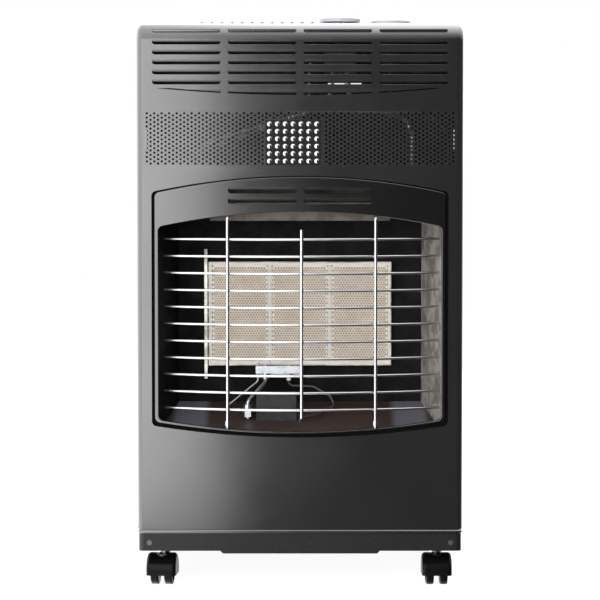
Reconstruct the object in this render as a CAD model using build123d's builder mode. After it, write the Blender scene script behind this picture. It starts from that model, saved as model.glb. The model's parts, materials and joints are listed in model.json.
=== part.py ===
from build123d import *
import math
import os

os.makedirs("parts", exist_ok=True)

# A gas cabinet heater on casters. X is to the right, Y to the back and Z up, in millimetres.
# The floor is Z = 0. Depths are measured backwards from the outer face of the front panel.

# Casing
cabinet_width = 420.0
cabinet_height = 653.5  # from the ledge of the base tray to the top
body_depth = 420.0  # from the front panel to the back of the rear cover
cover_depth = 46.0
sheet = 0.8
edge_radius = 8.0  # upright front edges and top side edges
brow_radius = 24.0  # top front edge
front_return = 34.0  # how far the front panel wraps round to the sides and the top
cap_drop = 15.0  # how far the top panel wraps down the sides
panel_corner = 6.0  # bottom corners of the front panel
lap = 12.0  # joggled flange behind a seam
flange = 17.0  # rear flanges of the casing
seat_gap = 0.3  # rest clearance between pieces that come apart
snug = 0.1  # clearance round what is held in a hole
float_gap = 0.2  # clearance at edges that only meet

# Base tray
tray_sheet = 1.2
skirt_height = 22.8
skirt_inset = 1.0
ledge_height = 5.2
ledge_reach = 3.0
ledge_radius = 2.55
ledge_width = 4.0
upstand = 10.0
lip_half = 103.5
lip_drop = 3.5
well_radius = 128.0  # rib that keeps the gas cylinder in place
well_rib = 3.0
well_margin = 6.0  # from the rib's ends to the partition and to the side panels' rear edge
seat_radius = 112.0  # raised seat inside the rib
seat_margin = 12.0  # from the seat to the ends of the rib
seat_rise = 1.0
entry_half = 172.0  # low part of the tray's rear edge, where the cylinder goes in
entry_lip = 6.0
lip_root = 1.0
screw_inset = 14.0
screw_rise = 10.9
screw_radius = 1.6
screw_length = 7.0
screw_head_radius = 3.4
screw_head_height = 1.8

# Casters
caster_height = 50.5  # floor to the underside of the tray
wheel_radius = 20.0
wheel_width = 10.5
wheel_gap = 0.5
web_half = 3.25
hood_half = 19.5
hood_wall = 2.4
hood_crown = 22.0
hood_skirt_z = 14.0
trail = 20.0
stem_radius = 4.0
stem_engagement = 10.0
boss_radius = 7.0
boss_top = 40.0
axle_radius = 2.5
running_gap = 0.05
caster_inset_x = 31.0
caster_inset_front = 65.0
caster_inset_rear = 60.0
collar_radius = 8.5
plate_radius = 14.0
plate_thickness = 2.1
nut_radius = 7.5
nut_height = 6.0

# Louvres of the front panel
louvre_columns = 4
louvre_length = 88.0
louvre_column_pitch = 97.3
louvre_height = 7.0
louvre_slot = 2.3
louvre_depth = 3.2
louvre_corner = 3.4
louvre_taper = 32.0  # how far the pressed ends lean
louvre_rows = 5
louvre_pitch = 12.775
louvre_first_drop = 27.8  # from the top of the cabinet to the bottom of the first flat row
brow_louvre_angle = 37.0  # where the row on the top bend sits, up from the front face
arc_louvre_drop = 92.6  # from the top of the cabinet to the curved bottom row at the middle
arc_louvre_radius = 1948.0
arc_louvre_height = 9.0
arc_louvre_half = 183.0  # where the curved row runs out
arc_louvre_slot = 1.8

# Perforated band
band_margin = 8.0
band_drop = 183.2  # from the top of the cabinet to the lower edge
band_height = 70.0
hole_radius = 1.5
hole_pitch = 9.6  # along a row
hole_row_step = 2.8  # between staggered rows
hole_rows = 24
insert_rise = 1.2  # above the lower edge of the band
insert_left = -44.2
insert_width = 70.7
insert_height = 57.0
insert_thickness = 1.2
stud_columns = 7
stud_rows = 6
stud_radius = 3.6
stud_height = 1.6

# Burner window
window_margin = 22.8  # beside the window
window_rest = 124.5  # from the ledge up to the window
window_height = 331.3
window_rise = 20.5  # arc of the top edge
window_drop = 15.5  # arc of the bottom edge
window_corner = 7.0
rim_side = 4.7
sill_height = 2.3
hood_height = 44.7
opening_rise = 19.5
opening_drop = 15.5
gap_side = 4.0  # dark gap between the surround and the front panel
gap_over = 1.5
gap_under = 4.9
lip_depth = 7.0
surround_sheet = 1.0
surround_proud = 1.0
surround_round = 0.8
return_depth = 10.0
flange_width = 5.0
hood_slot_rise = 10.0  # above the opening
hood_slot_pitch = 13.6
hood_slot_height = 8.4
hood_slot_open = 4.4
hood_slot_depth = 3.9
hood_slot_taper = 24.0

# Guard
guard_reach = 28.0
guard_x = 2.0  # the guard hangs this far off the middle
bar_count = 11
bar_rise = 30.1  # lowest wire above the opening's edge
bar_pitch = 21.9
bar_half = 178.0
bar_bow = 43.0
bar_radius = 1.7
rod_radius = 2.0
rod_offset = 95.0
wire_gap = 0.02  # between the wires, where they are welded
hook_length = 9.0
hook_bend = 3.0
middle_rod_over = 10.4  # below the lowest wire
middle_rod_under = 12.6  # above the highest wire
foot_radius = 3.4
foot_height = 6.0
hook_notch = 6.0  # round the rods' hooks in the recess floor

# Recess behind the window
recess_depth = 130.0
recess_taper = 21.0
reflector_top_drop = 27.0  # below the top of the window
floor_rise = 28.1
back_over = 14.0  # above the window
back_under = 15.0  # below the manifold
wing_foot = 5.0
deflector_half = 118.0
deflector_depth = 60.0
deflector_drop = 12.6  # below the top of the opening
deflector_lip = 23.0
deflector_slope = 12.0
wing_step = 0.5  # between the return and the start of a wing's slant
wing_front = 2.0
under_drop = 7.0  # from the manifold's middle up to the tubes that run below the recess floor

# Burner
tile_width = 80.0
tile_height = 134.4
tile_thickness = 13.0
tile_rise = 78.9  # above the opening's lower edge
tile_depth = 120.0
tile_count = 3
tile_rim = 4.0
tile_sink = 0.5
tile_seam = 0.3
gasket = 1.2
burner_sheet = 0.8
burner_box_depth = 30.0
burner_flange = 8.0
tube_radius = 8.5
tube_length = 76.2  # below the burner box
bell_radius = 9.8
bell_height = 5.0
manifold_radius = 6.0
manifold_drop = 26.0  # below the mixing tubes
manifold_half = 95.0
injector_radius = 3.2
injector_height = 16.0
strap_x = -125.7
strap_width = 4.0
strap_over = 19.4  # above and below the tiles
strap_sheet = 1.0
gasket_set = 1.0  # gasket's front behind the tiles' faces
tube_clear = 0.6  # between the tiles' backs and the mixing tubes
tube_wall = 1.0
manifold_wall = 1.5
manifold_end = 2.0
manifold_boss = 4.0
manifold_boss_wall = 2.0
manifold_foot_x = 75.0
manifold_foot_half = 5.0
manifold_foot_height = 4.0
injector_seat = 2.0
injector_bore = 0.4
injector_hex_height = 4.0
injector_hex_over = 1.6

# Pilot group
bracket_left = -58.9
bracket_width = 58.8
bracket_drop = 11.2  # below the tiles
bracket_height = 10.0
bracket_depth = 99.0
pilot_x = -46.0
pilot_depth = 110.0
pilot_radius = 4.5
electrode_x = -15.0
electrode_radius = 3.0
probe_x = -56.0
probe_radius = 1.6
pilot_tube_radius = 2.5
probe_lead_radius = 1.2
spark_lead_radius = 1.6
nut_x = -68.5
nut_depth = 62.0
box_left = -57.4
box_width = 52.5
box_depth = 53.0
box_length = 26.0
box_rise = 45.7  # above the opening's lower edge
box_round = 1.5
bracket_sheet = 1.0
pilot_over = 10.0  # above the bracket
pilot_under = 8.0
pilot_foot_x = 7.0
pilot_foot_y = 6.0
pilot_foot = 1.5
pilot_slot_low = 5.0
pilot_slot_height = 3.0
pilot_socket = 5.0
electrode_over = 8.0
electrode_under = 10.0
electrode_ring = 2.0
electrode_wire = 0.8
electrode_tip = 3.0
electrode_reach = 14.0
probe_over = 12.0
probe_under = 6.0
probe_ring = 1.2
nut_size = 8.2
nut_length = 10.0
nut_neck = 6.6
nut_neck_length = 6.0
nut_seat = 2.1  # clears the slope of the floor

# Controls
knob_x = 53.0
igniter_x = 119.0
control_depth = 95.0
knob_radius = 27.0
knob_height = 13.4
knob_dome = 5.0
knob_round = 1.5
knob_press = 4.0
dial_radius = 28.0
dial_thickness = 1.6
spindle_radius = 4.0
spindle_flat = 3.0
valve_width = 42.0
valve_length = 34.0
valve_height = 36.0
valve_drop = 24.0  # top of the valve body below the top panel
bonnet_radius = 11.0
collar_width = 7.0
collar_thickness = 2.0
bezel_radius = 26.5
bezel_height = 8.0
button_radius = 9.0
button_press = 7.0
igniter_radius = 11.5
igniter_length = 50.0
feed_radius = 4.0
hose_radius = 4.5
hose_bore = 2.5
hose_plain = 14.0  # plain spigot where the hose clamp sits
hose_thread = 8.0  # how far the tail goes into the valve
hose_hex_radius = 8.5
hose_hex_length = 6.0
hose_barbs = 2
hose_barb_length = 7.0
hose_barb_step = 0.8
valve_boss_radius = 8.0
valve_boss_length = 8.0
port_spread = 10.0
valve_round = 4.0
valve_flange = 2.0
valve_floor = 8.0  # below the spindle's bore
collar_well = 12.0  # depth of the bore for the thrust collar
collar_head = 2.0  # from the collar to the underside of the top panel
collar_lip = 1.5
knob_hub = 3.5  # wall of the knob's hub round the spindle
knob_socket = 6.0
knob_wall = 2.5
knob_hollow = 1.8
dial_round = 0.6
dial_hole = 1.0
bezel_round = 2.0
bezel_funnel = 3.0
bezel_mouth = 7.0
button_sunk = 0.4
button_root = 11.0
button_room = 12.0
button_round = 1.5
button_mouth = 1.0
igniter_flange = 4.0
igniter_flange_height = 3.0
feed_wall = 1.0
feed_x = 150.0
feed_bends = (22.0, 28.0, 18.0)

# Top louvres
top_louvres = 12
top_louvre_pitch = 13.0
top_louvre_first_x = -134.0
top_louvre_width = 8.6
top_louvre_length = 150.0
top_louvre_start = 42.0
top_louvre_rise = 3.6

# Bay
partition_depth = 170.0
partition_drop = 8.0
hose_pass_half = 30.0  # window in the partition behind the hose tail
lead_drop = 132.0  # where the tubes and leads turn towards the controls
grip_width = 96.0
grip_height = 26.0
grip_drop = 147.0
grip_depth = 205.0
cover_inset = 6.0
cover_low_gap = 6.0
cover_top_gap = 14.0
cover_radius = 16.0
cover_rim = 11.0
stud_pin_radius = 3.0
stud_pin_length = 9.0
stud_pin_rise = 70.0  # lower pins above the ledge
stud_pin_drop = 92.0  # upper pins below the top
cover_hem = 8.0  # what is left of the cover's bottom behind the cylinder
vent_rows = 4
vent_x = 100.0
vent_low_rise = 50.0
vent_high_drop = 90.0
pin_clearance = 0.3
vent_slot_length = 120.0
vent_slot_pitch = 13.0

# Worked-out places
front_y = guard_reach - (body_depth + guard_reach) / 2
half_width = cabinet_width / 2
cabinet_low = caster_height + skirt_height + ledge_height
cabinet_top = cabinet_low + cabinet_height
side_depth = body_depth - cover_depth - seat_gap
arc_louvre_middle = cabinet_top - arc_louvre_drop
arc_louvre_top = arc_louvre_middle + arc_louvre_height
band_half = half_width - band_margin
band_low = cabinet_top - band_drop
insert_low = band_low + insert_rise
window_half = half_width - window_margin
window_low = cabinet_low + window_rest
window_top = window_low + window_height
opening_half = window_half - rim_side
opening_low = window_low + sill_height
opening_top = window_top - hood_height
hood_slot_low = opening_top + hood_slot_rise
bar_low = opening_low + bar_rise
bar_high = bar_low + (bar_count - 1) * bar_pitch
tile_low = opening_low + tile_rise
tile_high = tile_low + tile_height
burner_low = tile_low - gasket - burner_sheet
burner_high = tile_high + gasket + burner_sheet
tube_low = burner_low - tube_length
manifold_z = tube_low - manifold_drop
under_z = manifold_z + under_drop
bracket_low = tile_low - bracket_drop
deflector_low = opening_top - deflector_drop
reflector_top = window_top - reflector_top_drop
box_top = opening_low + box_rise
partition_top = cabinet_top - partition_drop
lead_z = cabinet_top - lead_drop
grip_z = cabinet_top - grip_drop
wheel_inner = web_half + wheel_gap
wheel_outer = wheel_inner + wheel_width


def back(depth):
    """Y of a point this far behind the front panel."""
    return front_y + depth


def front_plane(depth):
    """A plane facing the front, X to the right and local Y up."""
    return Plane(origin=(0, back(depth), 0), x_dir=(1, 0, 0), z_dir=(0, -1, 0))


def side_plane(x):
    """A plane facing the right, local X to the back and local Y up."""
    return Plane(origin=(x, 0, 0), x_dir=(0, 1, 0), z_dir=(1, 0, 0))


def block(x, depth, z, mode=Mode.ADD):
    """A box between two values in X, in depth and in Z."""
    middle = (sum(x) / 2, back(sum(depth) / 2), sum(z) / 2)
    with Locations(middle):
        Box(x[1] - x[0], depth[1] - depth[0], z[1] - z[0], mode=mode)


def rod(start, end, radius, mode=Mode.ADD):
    """A round bar from one point to another, given as X, depth and Z."""
    first = Vector(start[0], back(start[1]), start[2])
    last = Vector(end[0], back(end[1]), end[2])
    with Locations(Plane(origin=first, z_dir=last - first)):
        length = (last - first).length
        Cylinder(radius, length, align=(Align.CENTER, Align.CENTER, Align.MIN), mode=mode)


def window_face(grow_side, grow_top, grow_low):
    """The window's outline, grown from the outer edge of the surround."""
    half = window_half + grow_side
    top = window_top + grow_top
    low = window_low - grow_low
    with BuildSketch(mode=Mode.PRIVATE) as outline:
        with BuildLine():
            ThreePointArc((-half, top - window_rise), (0, top), (half, top - window_rise))
            Line((half, top - window_rise), (half, low + window_drop))
            ThreePointArc((half, low + window_drop), (0, low), (-half, low + window_drop))
            Line((-half, low + window_drop), (-half, top - window_rise))
        make_face()
        fillet(outline.vertices(), window_corner)
    return outline.sketch


def opening_face(grow):
    """The outline of the clear opening inside the surround."""
    half = opening_half + grow
    top = opening_top + grow
    low = opening_low - grow
    with BuildSketch(mode=Mode.PRIVATE) as outline:
        with BuildLine():
            ThreePointArc((-half, top - opening_rise), (0, top), (half, top - opening_rise))
            Line((half, top - opening_rise), (half, low + opening_drop))
            ThreePointArc((half, low + opening_drop), (0, low), (-half, low + opening_drop))
            Line((-half, low + opening_drop), (-half, top - opening_rise))
        make_face()
        fillet(outline.vertices(), window_corner)
    return outline.sketch


def ring(outer, inner, start, end, mode=Mode.ADD):
    """A front-view ring between two outlines, from one depth to another."""
    extrude(front_plane(end) * (outer - inner), amount=end - start, mode=mode)


def casing_block(wall):
    """The outer form of the casing, drawn in by a wall on every closed side."""
    half = half_width - wall
    with BuildPart(mode=Mode.PRIVATE) as form:
        block((-half, half), (wall, side_depth + wall), (cabinet_low - wall, cabinet_top - wall))
        brow = form.edges().filter_by(Axis.X).group_by(Axis.Z)[-1].sort_by(Axis.Y)[0]
        fillet(brow, brow_radius - wall)
        for side in (Axis.X, Axis.X.reverse()):
            face = form.faces().sort_by(side)[-1]
            rear = face.edges().sort_by(Axis.Y)[-1]
            bottom = face.edges().sort_by(Axis.Z)[0]
            chain = [e for e in face.edges() if not (e.is_same(rear) or e.is_same(bottom))]
            fillet(chain, edge_radius - wall)
    return form.part


def blade(height, slot, depth, inset):
    """Start, middle and end of a louvre's curved blade, as distances up the sheet and out of it."""
    drop = height - slot
    radius = (drop**2 + depth**2) / (2 * depth)
    turn = math.atan2(drop, radius - depth)
    return [
        (height - (radius - inset) * math.sin(angle), (radius - inset) * math.cos(angle) - radius)
        for angle in (0, turn / 2, turn)
    ]


def dish(width, height, depth, corner, taper):
    """A tapered form that leans the ends of a pressed louvre, open at the bottom."""
    with BuildPart(mode=Mode.PRIVATE) as form:
        with BuildSketch(Plane((0, 0, 0), x_dir=(1, 0, 0), z_dir=(0, 0, -1))):
            RectangleRounded(width, 2 * height, corner)
        extrude(amount=depth, taper=taper)
    return form.part


def louvre(width, height, slot, depth, corner, taper, wall):
    """A pressed louvre's metal and its air, in its own frame: Y up the sheet and Z out of it."""
    with BuildPart(mode=Mode.PRIVATE) as metal:
        with BuildSketch(Plane.YZ.offset(-width / 2 - wall)):
            start, middle, end = blade(height, slot, depth, wall)
            with BuildLine():
                Polyline((slot, -depth), (slot, -wall / 2), (height, -wall / 2), start)
                ThreePointArc(start, middle, end)
                Line(end, (slot, -depth))
            make_face()
        extrude(amount=width + 2 * wall)
        add(dish(width + 2 * wall, height + wall, depth + wall, corner + wall, taper),
            mode=Mode.INTERSECT)
    with BuildPart(mode=Mode.PRIVATE) as air:
        with BuildSketch(Plane.YZ.offset(-width / 2)):
            start, middle, end = blade(height, slot, depth, 0)
            with BuildLine():
                ThreePointArc(start, middle, end)
                Polyline(end, (0, -depth), (0, 1), (height, 1), start)
            make_face()
        extrude(amount=width)
        with BuildSketch(Plane.XY.offset(-depth - wall)):
            with Locations((0, height / 2)):
                RectangleRounded(width, height, corner)
        extrude(amount=depth + 2 * wall + 1, mode=Mode.INTERSECT)
        with BuildPart(mode=Mode.PRIVATE) as cup:
            add(dish(width, height, depth + wall, corner, taper))
            with Locations((0, 0, 1)):
                Box(width, 2 * height, 2)
        add(cup.part, mode=Mode.INTERSECT)
    return metal.part, air.part


def finish(piece, name):
    """Labels a finished piece and writes it."""
    piece.label = name
    export_step(piece, "parts/" + name + ".step")


louvre_xs = [(i - (louvre_columns - 1) / 2) * louvre_column_pitch for i in range(louvre_columns)]
casing_outer = casing_block(0)
casing_inner = casing_block(sheet)
seam_plane = Plane(origin=(0, back(front_return), 0), z_dir=(0, 1, 0))
cap_plane = Plane.XY.offset(cabinet_top - cap_drop)

# Front panel: one drawn sheet that wraps round to the sides and the top
louvre_metal, louvre_air = louvre(
    louvre_length, louvre_height, louvre_slot, louvre_depth, louvre_corner, louvre_taper, sheet
)
first_row = cabinet_top - louvre_first_drop
row_places = [
    Plane(origin=(x, front_y, first_row - row * louvre_pitch), x_dir=(1, 0, 0), z_dir=(0, -1, 0))
    for row in range(louvre_rows)
    for x in louvre_xs
]
brow = math.radians(brow_louvre_angle)
brow_normal = Vector(0, -math.cos(brow), math.sin(brow))
brow_up = Vector(0, math.sin(brow), math.cos(brow))
brow_middle = Vector(0, back(brow_radius), cabinet_top - brow_radius) + brow_normal * brow_radius
brow_places = [
    Plane(
        origin=brow_middle - brow_up * (louvre_height / 2) + Vector(x, 0, 0),
        x_dir=(1, 0, 0),
        z_dir=brow_normal,
    )
    for x in louvre_xs
]
arc_height = arc_louvre_top - arc_louvre_middle
with BuildSketch(mode=Mode.PRIVATE) as arc_row:
    with Locations([(x, arc_louvre_top - louvre_height) for x in louvre_xs]):
        RectangleRounded(louvre_length, 2 * louvre_height, louvre_corner)
    with Locations((0, arc_louvre_middle + arc_louvre_radius)):
        Circle(arc_louvre_radius, mode=Mode.INTERSECT)
    with Locations((0, arc_louvre_middle)):
        Rectangle(2 * arc_louvre_half, 4 * arc_louvre_height, mode=Mode.INTERSECT)
with BuildSketch(mode=Mode.PRIVATE) as arc_slot:
    add(arc_row.sketch)
    with Locations((0, arc_louvre_middle + arc_louvre_slot + arc_louvre_radius)):
        Circle(arc_louvre_radius, mode=Mode.SUBTRACT)

arc_blade = [
    (front_y - out, arc_louvre_top - louvre_height + up)
    for up, out in blade(louvre_height, 0, louvre_depth, 0)
]
with BuildPart(mode=Mode.PRIVATE) as arc_cups:
    for x in louvre_xs:
        with Locations(Plane(origin=(x, front_y, arc_louvre_top - louvre_height), x_dir=(1, 0, 0),
                             z_dir=(0, -1, 0))):
            add(dish(louvre_length, louvre_height, louvre_depth + sheet, louvre_corner, louvre_taper))

with BuildPart() as front_panel:
    add(casing_outer)
    add(casing_inner, mode=Mode.SUBTRACT)
    split(bisect_by=seam_plane, keep=Keep.BOTTOM)
    # rounded bottom corners
    with BuildSketch(front_plane(edge_radius)):
        with Locations((0, cabinet_low + panel_corner / 2)):
            Rectangle(cabinet_width, panel_corner)
        with Locations((0, cabinet_low + cabinet_height / 2)):
            RectangleRounded(cabinet_width, cabinet_height, panel_corner, mode=Mode.SUBTRACT)
    extrude(amount=edge_radius, mode=Mode.SUBTRACT)
    # opening with its turned-in lip
    ring(
        window_face(gap_side + sheet, gap_over + sheet, gap_under + sheet),
        window_face(gap_side, gap_over, gap_under),
        0,
        lip_depth,
    )
    extrude(
        front_plane(lip_depth) * window_face(gap_side, gap_over, gap_under),
        amount=lip_depth,
        mode=Mode.SUBTRACT,
    )
    # perforated band's seat
    block((-band_half, band_half), (0, sheet), (band_low, band_low + band_height), Mode.SUBTRACT)
    for place in row_places + brow_places:
        add(place * louvre_metal)
    for place in row_places + brow_places:
        add(place * louvre_air, mode=Mode.SUBTRACT)
    # curved bottom row
    with BuildPart(mode=Mode.PRIVATE) as arc_wedge:
        with BuildSketch(side_plane(-half_width)):
            with BuildLine():
                ThreePointArc(*arc_blade)
                Polyline(
                    arc_blade[-1],
                    (back(louvre_depth), arc_louvre_middle - 1),
                    (front_y, arc_louvre_middle - 1),
                    arc_blade[0],
                )
            make_face()
        extrude(amount=cabinet_width)
    with BuildPart(mode=Mode.PRIVATE) as arc_back:
        extrude(front_plane(louvre_depth + sheet) * arc_row.sketch, amount=louvre_depth)
    with BuildPart(mode=Mode.PRIVATE) as arc_air:
        extrude(front_plane(louvre_depth) * arc_row.sketch, amount=louvre_depth + 1)
        add(arc_wedge.part, mode=Mode.INTERSECT)
        add(arc_cups.part, mode=Mode.INTERSECT)
    add(arc_back.part)
    add(arc_air.part, mode=Mode.SUBTRACT)
    extrude(front_plane(louvre_depth + 2 * sheet) * arc_slot.sketch,
            amount=louvre_depth + 2 * sheet + 1, mode=Mode.SUBTRACT)
finish(front_panel.part, "front_panel")

# Perforated band, punched in staggered rows round the insert
insert_right = insert_left + insert_width
insert_high = insert_low + insert_height
columns = int((band_half - 2 * hole_radius) // hole_pitch)
hole_wires = []
for row in range(hole_rows):
    z = band_low + (band_height - (hole_rows - 1) * hole_row_step) / 2 + row * hole_row_step
    shift = hole_pitch / 2 if row % 2 else 0
    for column in range(-columns - row % 2, columns + 1):
        x = column * hole_pitch + shift
        near_x = insert_left - 2 * hole_radius < x < insert_right + 2 * hole_radius
        if not (near_x and z < insert_high + 2 * hole_radius):
            hole_wires.append(Wire(Edge.make_circle(hole_radius, Plane((x, z, 0)))))
band_outline = Wire.make_rect(2 * band_half, band_height, Plane((0, band_low + band_height / 2, 0)))
with BuildPart() as vent_screen:
    extrude(front_plane(sheet) * Face(band_outline, hole_wires), amount=sheet)
finish(vent_screen.part, "vent_screen")

# Studded insert on the band
with BuildPart() as vent_insert:
    block((insert_left, insert_right), (-insert_thickness, 0), (insert_low, insert_high))
    fillet(vent_insert.edges().filter_by(Axis.Y), 1.0)
    stud_x = insert_width / stud_columns
    stud_z = insert_height / stud_rows
    with BuildSketch(front_plane(-insert_thickness)) as studs:
        with Locations(((insert_left + insert_right) / 2, (insert_low + insert_high) / 2)):
            with GridLocations(stud_x, stud_z, stud_columns, stud_rows):
                Circle(stud_radius)
    extrude(amount=stud_height, taper=40)
finish(vent_insert.part, "vent_insert")

# Window surround: a pressed channel with the slotted hood above the opening
hood_metal, hood_air = louvre(
    louvre_length, hood_slot_height, hood_slot_open, hood_slot_depth, louvre_corner, hood_slot_taper,
    surround_sheet,
)
hood_places = [
    Plane(
        origin=(x, back(-surround_proud), hood_slot_low + row * hood_slot_pitch),
        x_dir=(1, 0, 0),
        z_dir=(0, -1, 0),
    )
    for row in range(2)
    for x in louvre_xs[1:-1]
]
surround_flange = sheet + flange_width
with BuildPart() as window_surround:
    face_back = surround_sheet - surround_proud
    ring(window_face(0, 0, 0), opening_face(0), -surround_proud, face_back)
    thin = window_face(-surround_sheet, -surround_sheet, -surround_sheet)
    ring(window_face(0, 0, 0), thin, face_back, lip_depth + surround_sheet)
    ring(opening_face(surround_sheet), opening_face(0), face_back, return_depth)
    wide = window_face(
        gap_side + surround_flange, gap_over + surround_flange, gap_under + surround_flange
    )
    ring(wide, thin, lip_depth, lip_depth + surround_sheet)
    fillet(window_surround.faces().sort_by(Axis.Y)[0].edges(), surround_round)
    for place in hood_places:
        add(place * hood_metal)
    for place in hood_places:
        add(place * hood_air, mode=Mode.SUBTRACT)
finish(window_surround.part, "window_surround")

# Guard: bowed wires welded behind three upright rods, hooked over the window's returns
bar_middle_depth = -guard_reach + 2 * rod_radius + bar_radius + wire_gap
bar_end_depth = bar_middle_depth + bar_bow
bow_radius = (bar_half**2 + bar_bow**2) / (2 * bar_bow)
bar_at_rod = bar_middle_depth + bow_radius - math.sqrt(bow_radius**2 - rod_offset**2)
rod_front = bar_at_rod - bar_radius - rod_radius - wire_gap


def opening_edge(x, middle, rise):
    """Height of a curved edge of the opening above or below its middle."""
    arc = (opening_half**2 + rise**2) / (2 * abs(rise))
    fall = arc - math.sqrt(arc**2 - x**2)
    return middle - fall if rise > 0 else middle + fall


hook_back = return_depth + rod_radius + 2 * seat_gap
hook_xs = (guard_x - rod_offset, guard_x + rod_offset)
middle_front = -guard_reach + rod_radius
guard_wires = []
for bar in range(bar_count):
    z = bar_low + bar * bar_pitch
    with BuildPart(mode=Mode.PRIVATE) as guard_bar:
        with BuildLine(Plane.XY.offset(z)) as bar_path:
            ThreePointArc(
                (guard_x - bar_half, back(bar_end_depth)),
                (guard_x, back(bar_middle_depth)),
                (guard_x + bar_half, back(bar_end_depth)),
            )
        with BuildSketch(Plane(origin=bar_path.line @ 0, z_dir=bar_path.line % 0)):
            Circle(bar_radius)
        sweep()
    guard_wires.append(guard_bar.part.solid())
for x in hook_xs:
    hook_high = opening_edge(abs(x) + rod_radius, opening_top, opening_rise) - rod_radius - seat_gap
    hook_low = opening_edge(abs(x) + rod_radius, opening_low, -opening_drop) + rod_radius + seat_gap
    foot_z = hook_low + hook_bend
    with BuildPart(mode=Mode.PRIVATE) as guard_rod:
        with BuildLine(side_plane(x)) as rod_path:
            FilletPolyline(
                (back(hook_back), hook_high + hook_length),
                (back(hook_back), hook_high),
                (back(rod_front), hook_high),
                (back(rod_front), hook_low),
                (back(hook_back), hook_low),
                (back(hook_back), hook_low - hook_length),
                radius=hook_bend,
            )
        with BuildSketch(Plane(origin=rod_path.line @ 0, z_dir=rod_path.line % 0)):
            Circle(rod_radius)
        sweep()
        rod((x, rod_front, foot_z), (x, rod_front, foot_z + foot_height), foot_radius)
    guard_wires.append(guard_rod.part.solid())
with BuildPart(mode=Mode.PRIVATE) as middle_rod:
    rod((guard_x, middle_front, bar_low - middle_rod_over),
        (guard_x, middle_front, bar_high + middle_rod_under), rod_radius)
guard_wires.append(middle_rod.part.solid())
finish(Compound(guard_wires), "guard_grille")

# Recess: two reflector wings, a sloping floor, the back plate and the heat deflector
wing_x = opening_half + surround_sheet
wing_start = return_depth + wing_step
wing_end = recess_depth - sheet
wing_back_x = wing_x - recess_taper
for side, name in ((-1, "reflector_left"), (1, "reflector_right")):
    with BuildPart() as reflector:
        with BuildSketch(Plane.XY.offset(opening_low)):
            with BuildLine():
                Polyline(
                    (side * wing_x, back(wing_front)),
                    (side * wing_x, back(wing_start)),
                    (side * wing_back_x, back(recess_depth)),
                    (side * (wing_back_x + wing_foot), back(recess_depth)),
                    (side * (wing_back_x + wing_foot), back(wing_end)),
                    (side * (wing_back_x + sheet), back(wing_end)),
                    (side * (wing_x + sheet), back(wing_start)),
                    (side * (wing_x + sheet), back(wing_front)),
                    close=True,
                )
            make_face()
        extrude(amount=reflector_top - opening_low)
        block((-half_width, half_width), (0, wing_start), (0, opening_low + opening_drop),
              Mode.SUBTRACT)
    finish(reflector.part, name)

floor_front = return_depth + snug
floor_front_z = opening_low - sheet / 2
floor_back_z = floor_front_z + floor_rise


def floor_z(depth):
    """Top of the recess floor at a depth."""
    slope = floor_rise / (recess_depth - floor_front)
    return floor_front_z + slope * (depth - floor_front)


def wing_inner(depth):
    """Inner face of a reflector wing at a depth."""
    share = (depth - wing_start) / (recess_depth - wing_start)
    return wing_x - recess_taper * share


pilot_hole = (nut_x, nut_depth)
probe_hole = (-97.0, 90.0)
spark_hole = (0.0, 46.0)
with BuildPart() as recess_floor:
    with BuildSketch(side_plane(-half_width)):
        with BuildLine():
            Polyline(
                (back(floor_front), floor_front_z),
                (back(recess_depth), floor_back_z),
                (back(recess_depth), floor_back_z - sheet),
                (back(floor_front), floor_front_z - sheet),
                close=True,
            )
        make_face()
    extrude(amount=cabinet_width)
    with BuildSketch(Plane.XY):
        with BuildLine():
            Polyline(
                (-wing_inner(floor_front) + float_gap, back(floor_front)),
                (wing_inner(floor_front) - float_gap, back(floor_front)),
                (wing_inner(recess_depth) - float_gap, back(recess_depth)),
                (-wing_inner(recess_depth) + float_gap, back(recess_depth)),
                close=True,
            )
        make_face()
    extrude(amount=cabinet_top, mode=Mode.INTERSECT)
    for x in hook_xs:
        block((x - hook_notch, x + hook_notch), (0, hook_back + rod_radius + hook_notch),
              (0, cabinet_top), Mode.SUBTRACT)
    for (x, depth), radius in (
        (pilot_hole, pilot_tube_radius),
        (probe_hole, probe_lead_radius),
        (spark_hole, spark_lead_radius),
    ):
        rod((x, depth, 0), (x, depth, cabinet_top), radius + seat_gap, Mode.SUBTRACT)
finish(recess_floor.part, "recess_floor")

field_half = tile_count * tile_width / 2
box_half = field_half + gasket + burner_sheet
pilot_pass = (-108.0, recess_depth, under_z)
probe_pass = (-124.0, recess_depth, under_z)
with BuildPart() as recess_back:
    block((-half_width + sheet, half_width - sheet), (recess_depth, recess_depth + sheet),
          (manifold_z - back_under, window_top + back_over))
    block((-box_half - seat_gap, box_half + seat_gap), (0, body_depth),
          (burner_low - seat_gap, burner_high + seat_gap), Mode.SUBTRACT)
    for (x, depth, z), radius in ((pilot_pass, pilot_tube_radius), (probe_pass, probe_lead_radius)):
        rod((x, depth - 5, z), (x, depth + 5, z), radius + seat_gap, Mode.SUBTRACT)
finish(recess_back.part, "recess_back")

deflector_shelf = deflector_low + deflector_lip
deflector_rear = deflector_shelf + deflector_slope
with BuildPart() as heat_deflector:
    with BuildSketch(side_plane(-deflector_half)):
        with BuildLine():
            Polyline(
                (back(deflector_depth), deflector_low),
                (back(deflector_depth), deflector_shelf + sheet),
                (back(recess_depth - sheet), deflector_rear + sheet),
                (back(recess_depth - sheet), deflector_rear + lap),
                (back(recess_depth), deflector_rear + lap),
                (back(recess_depth), deflector_rear),
                (back(deflector_depth + sheet), deflector_shelf),
                (back(deflector_depth + sheet), deflector_low),
                close=True,
            )
        make_face()
    extrude(amount=2 * deflector_half)
finish(heat_deflector.part, "heat_deflector")

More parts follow.
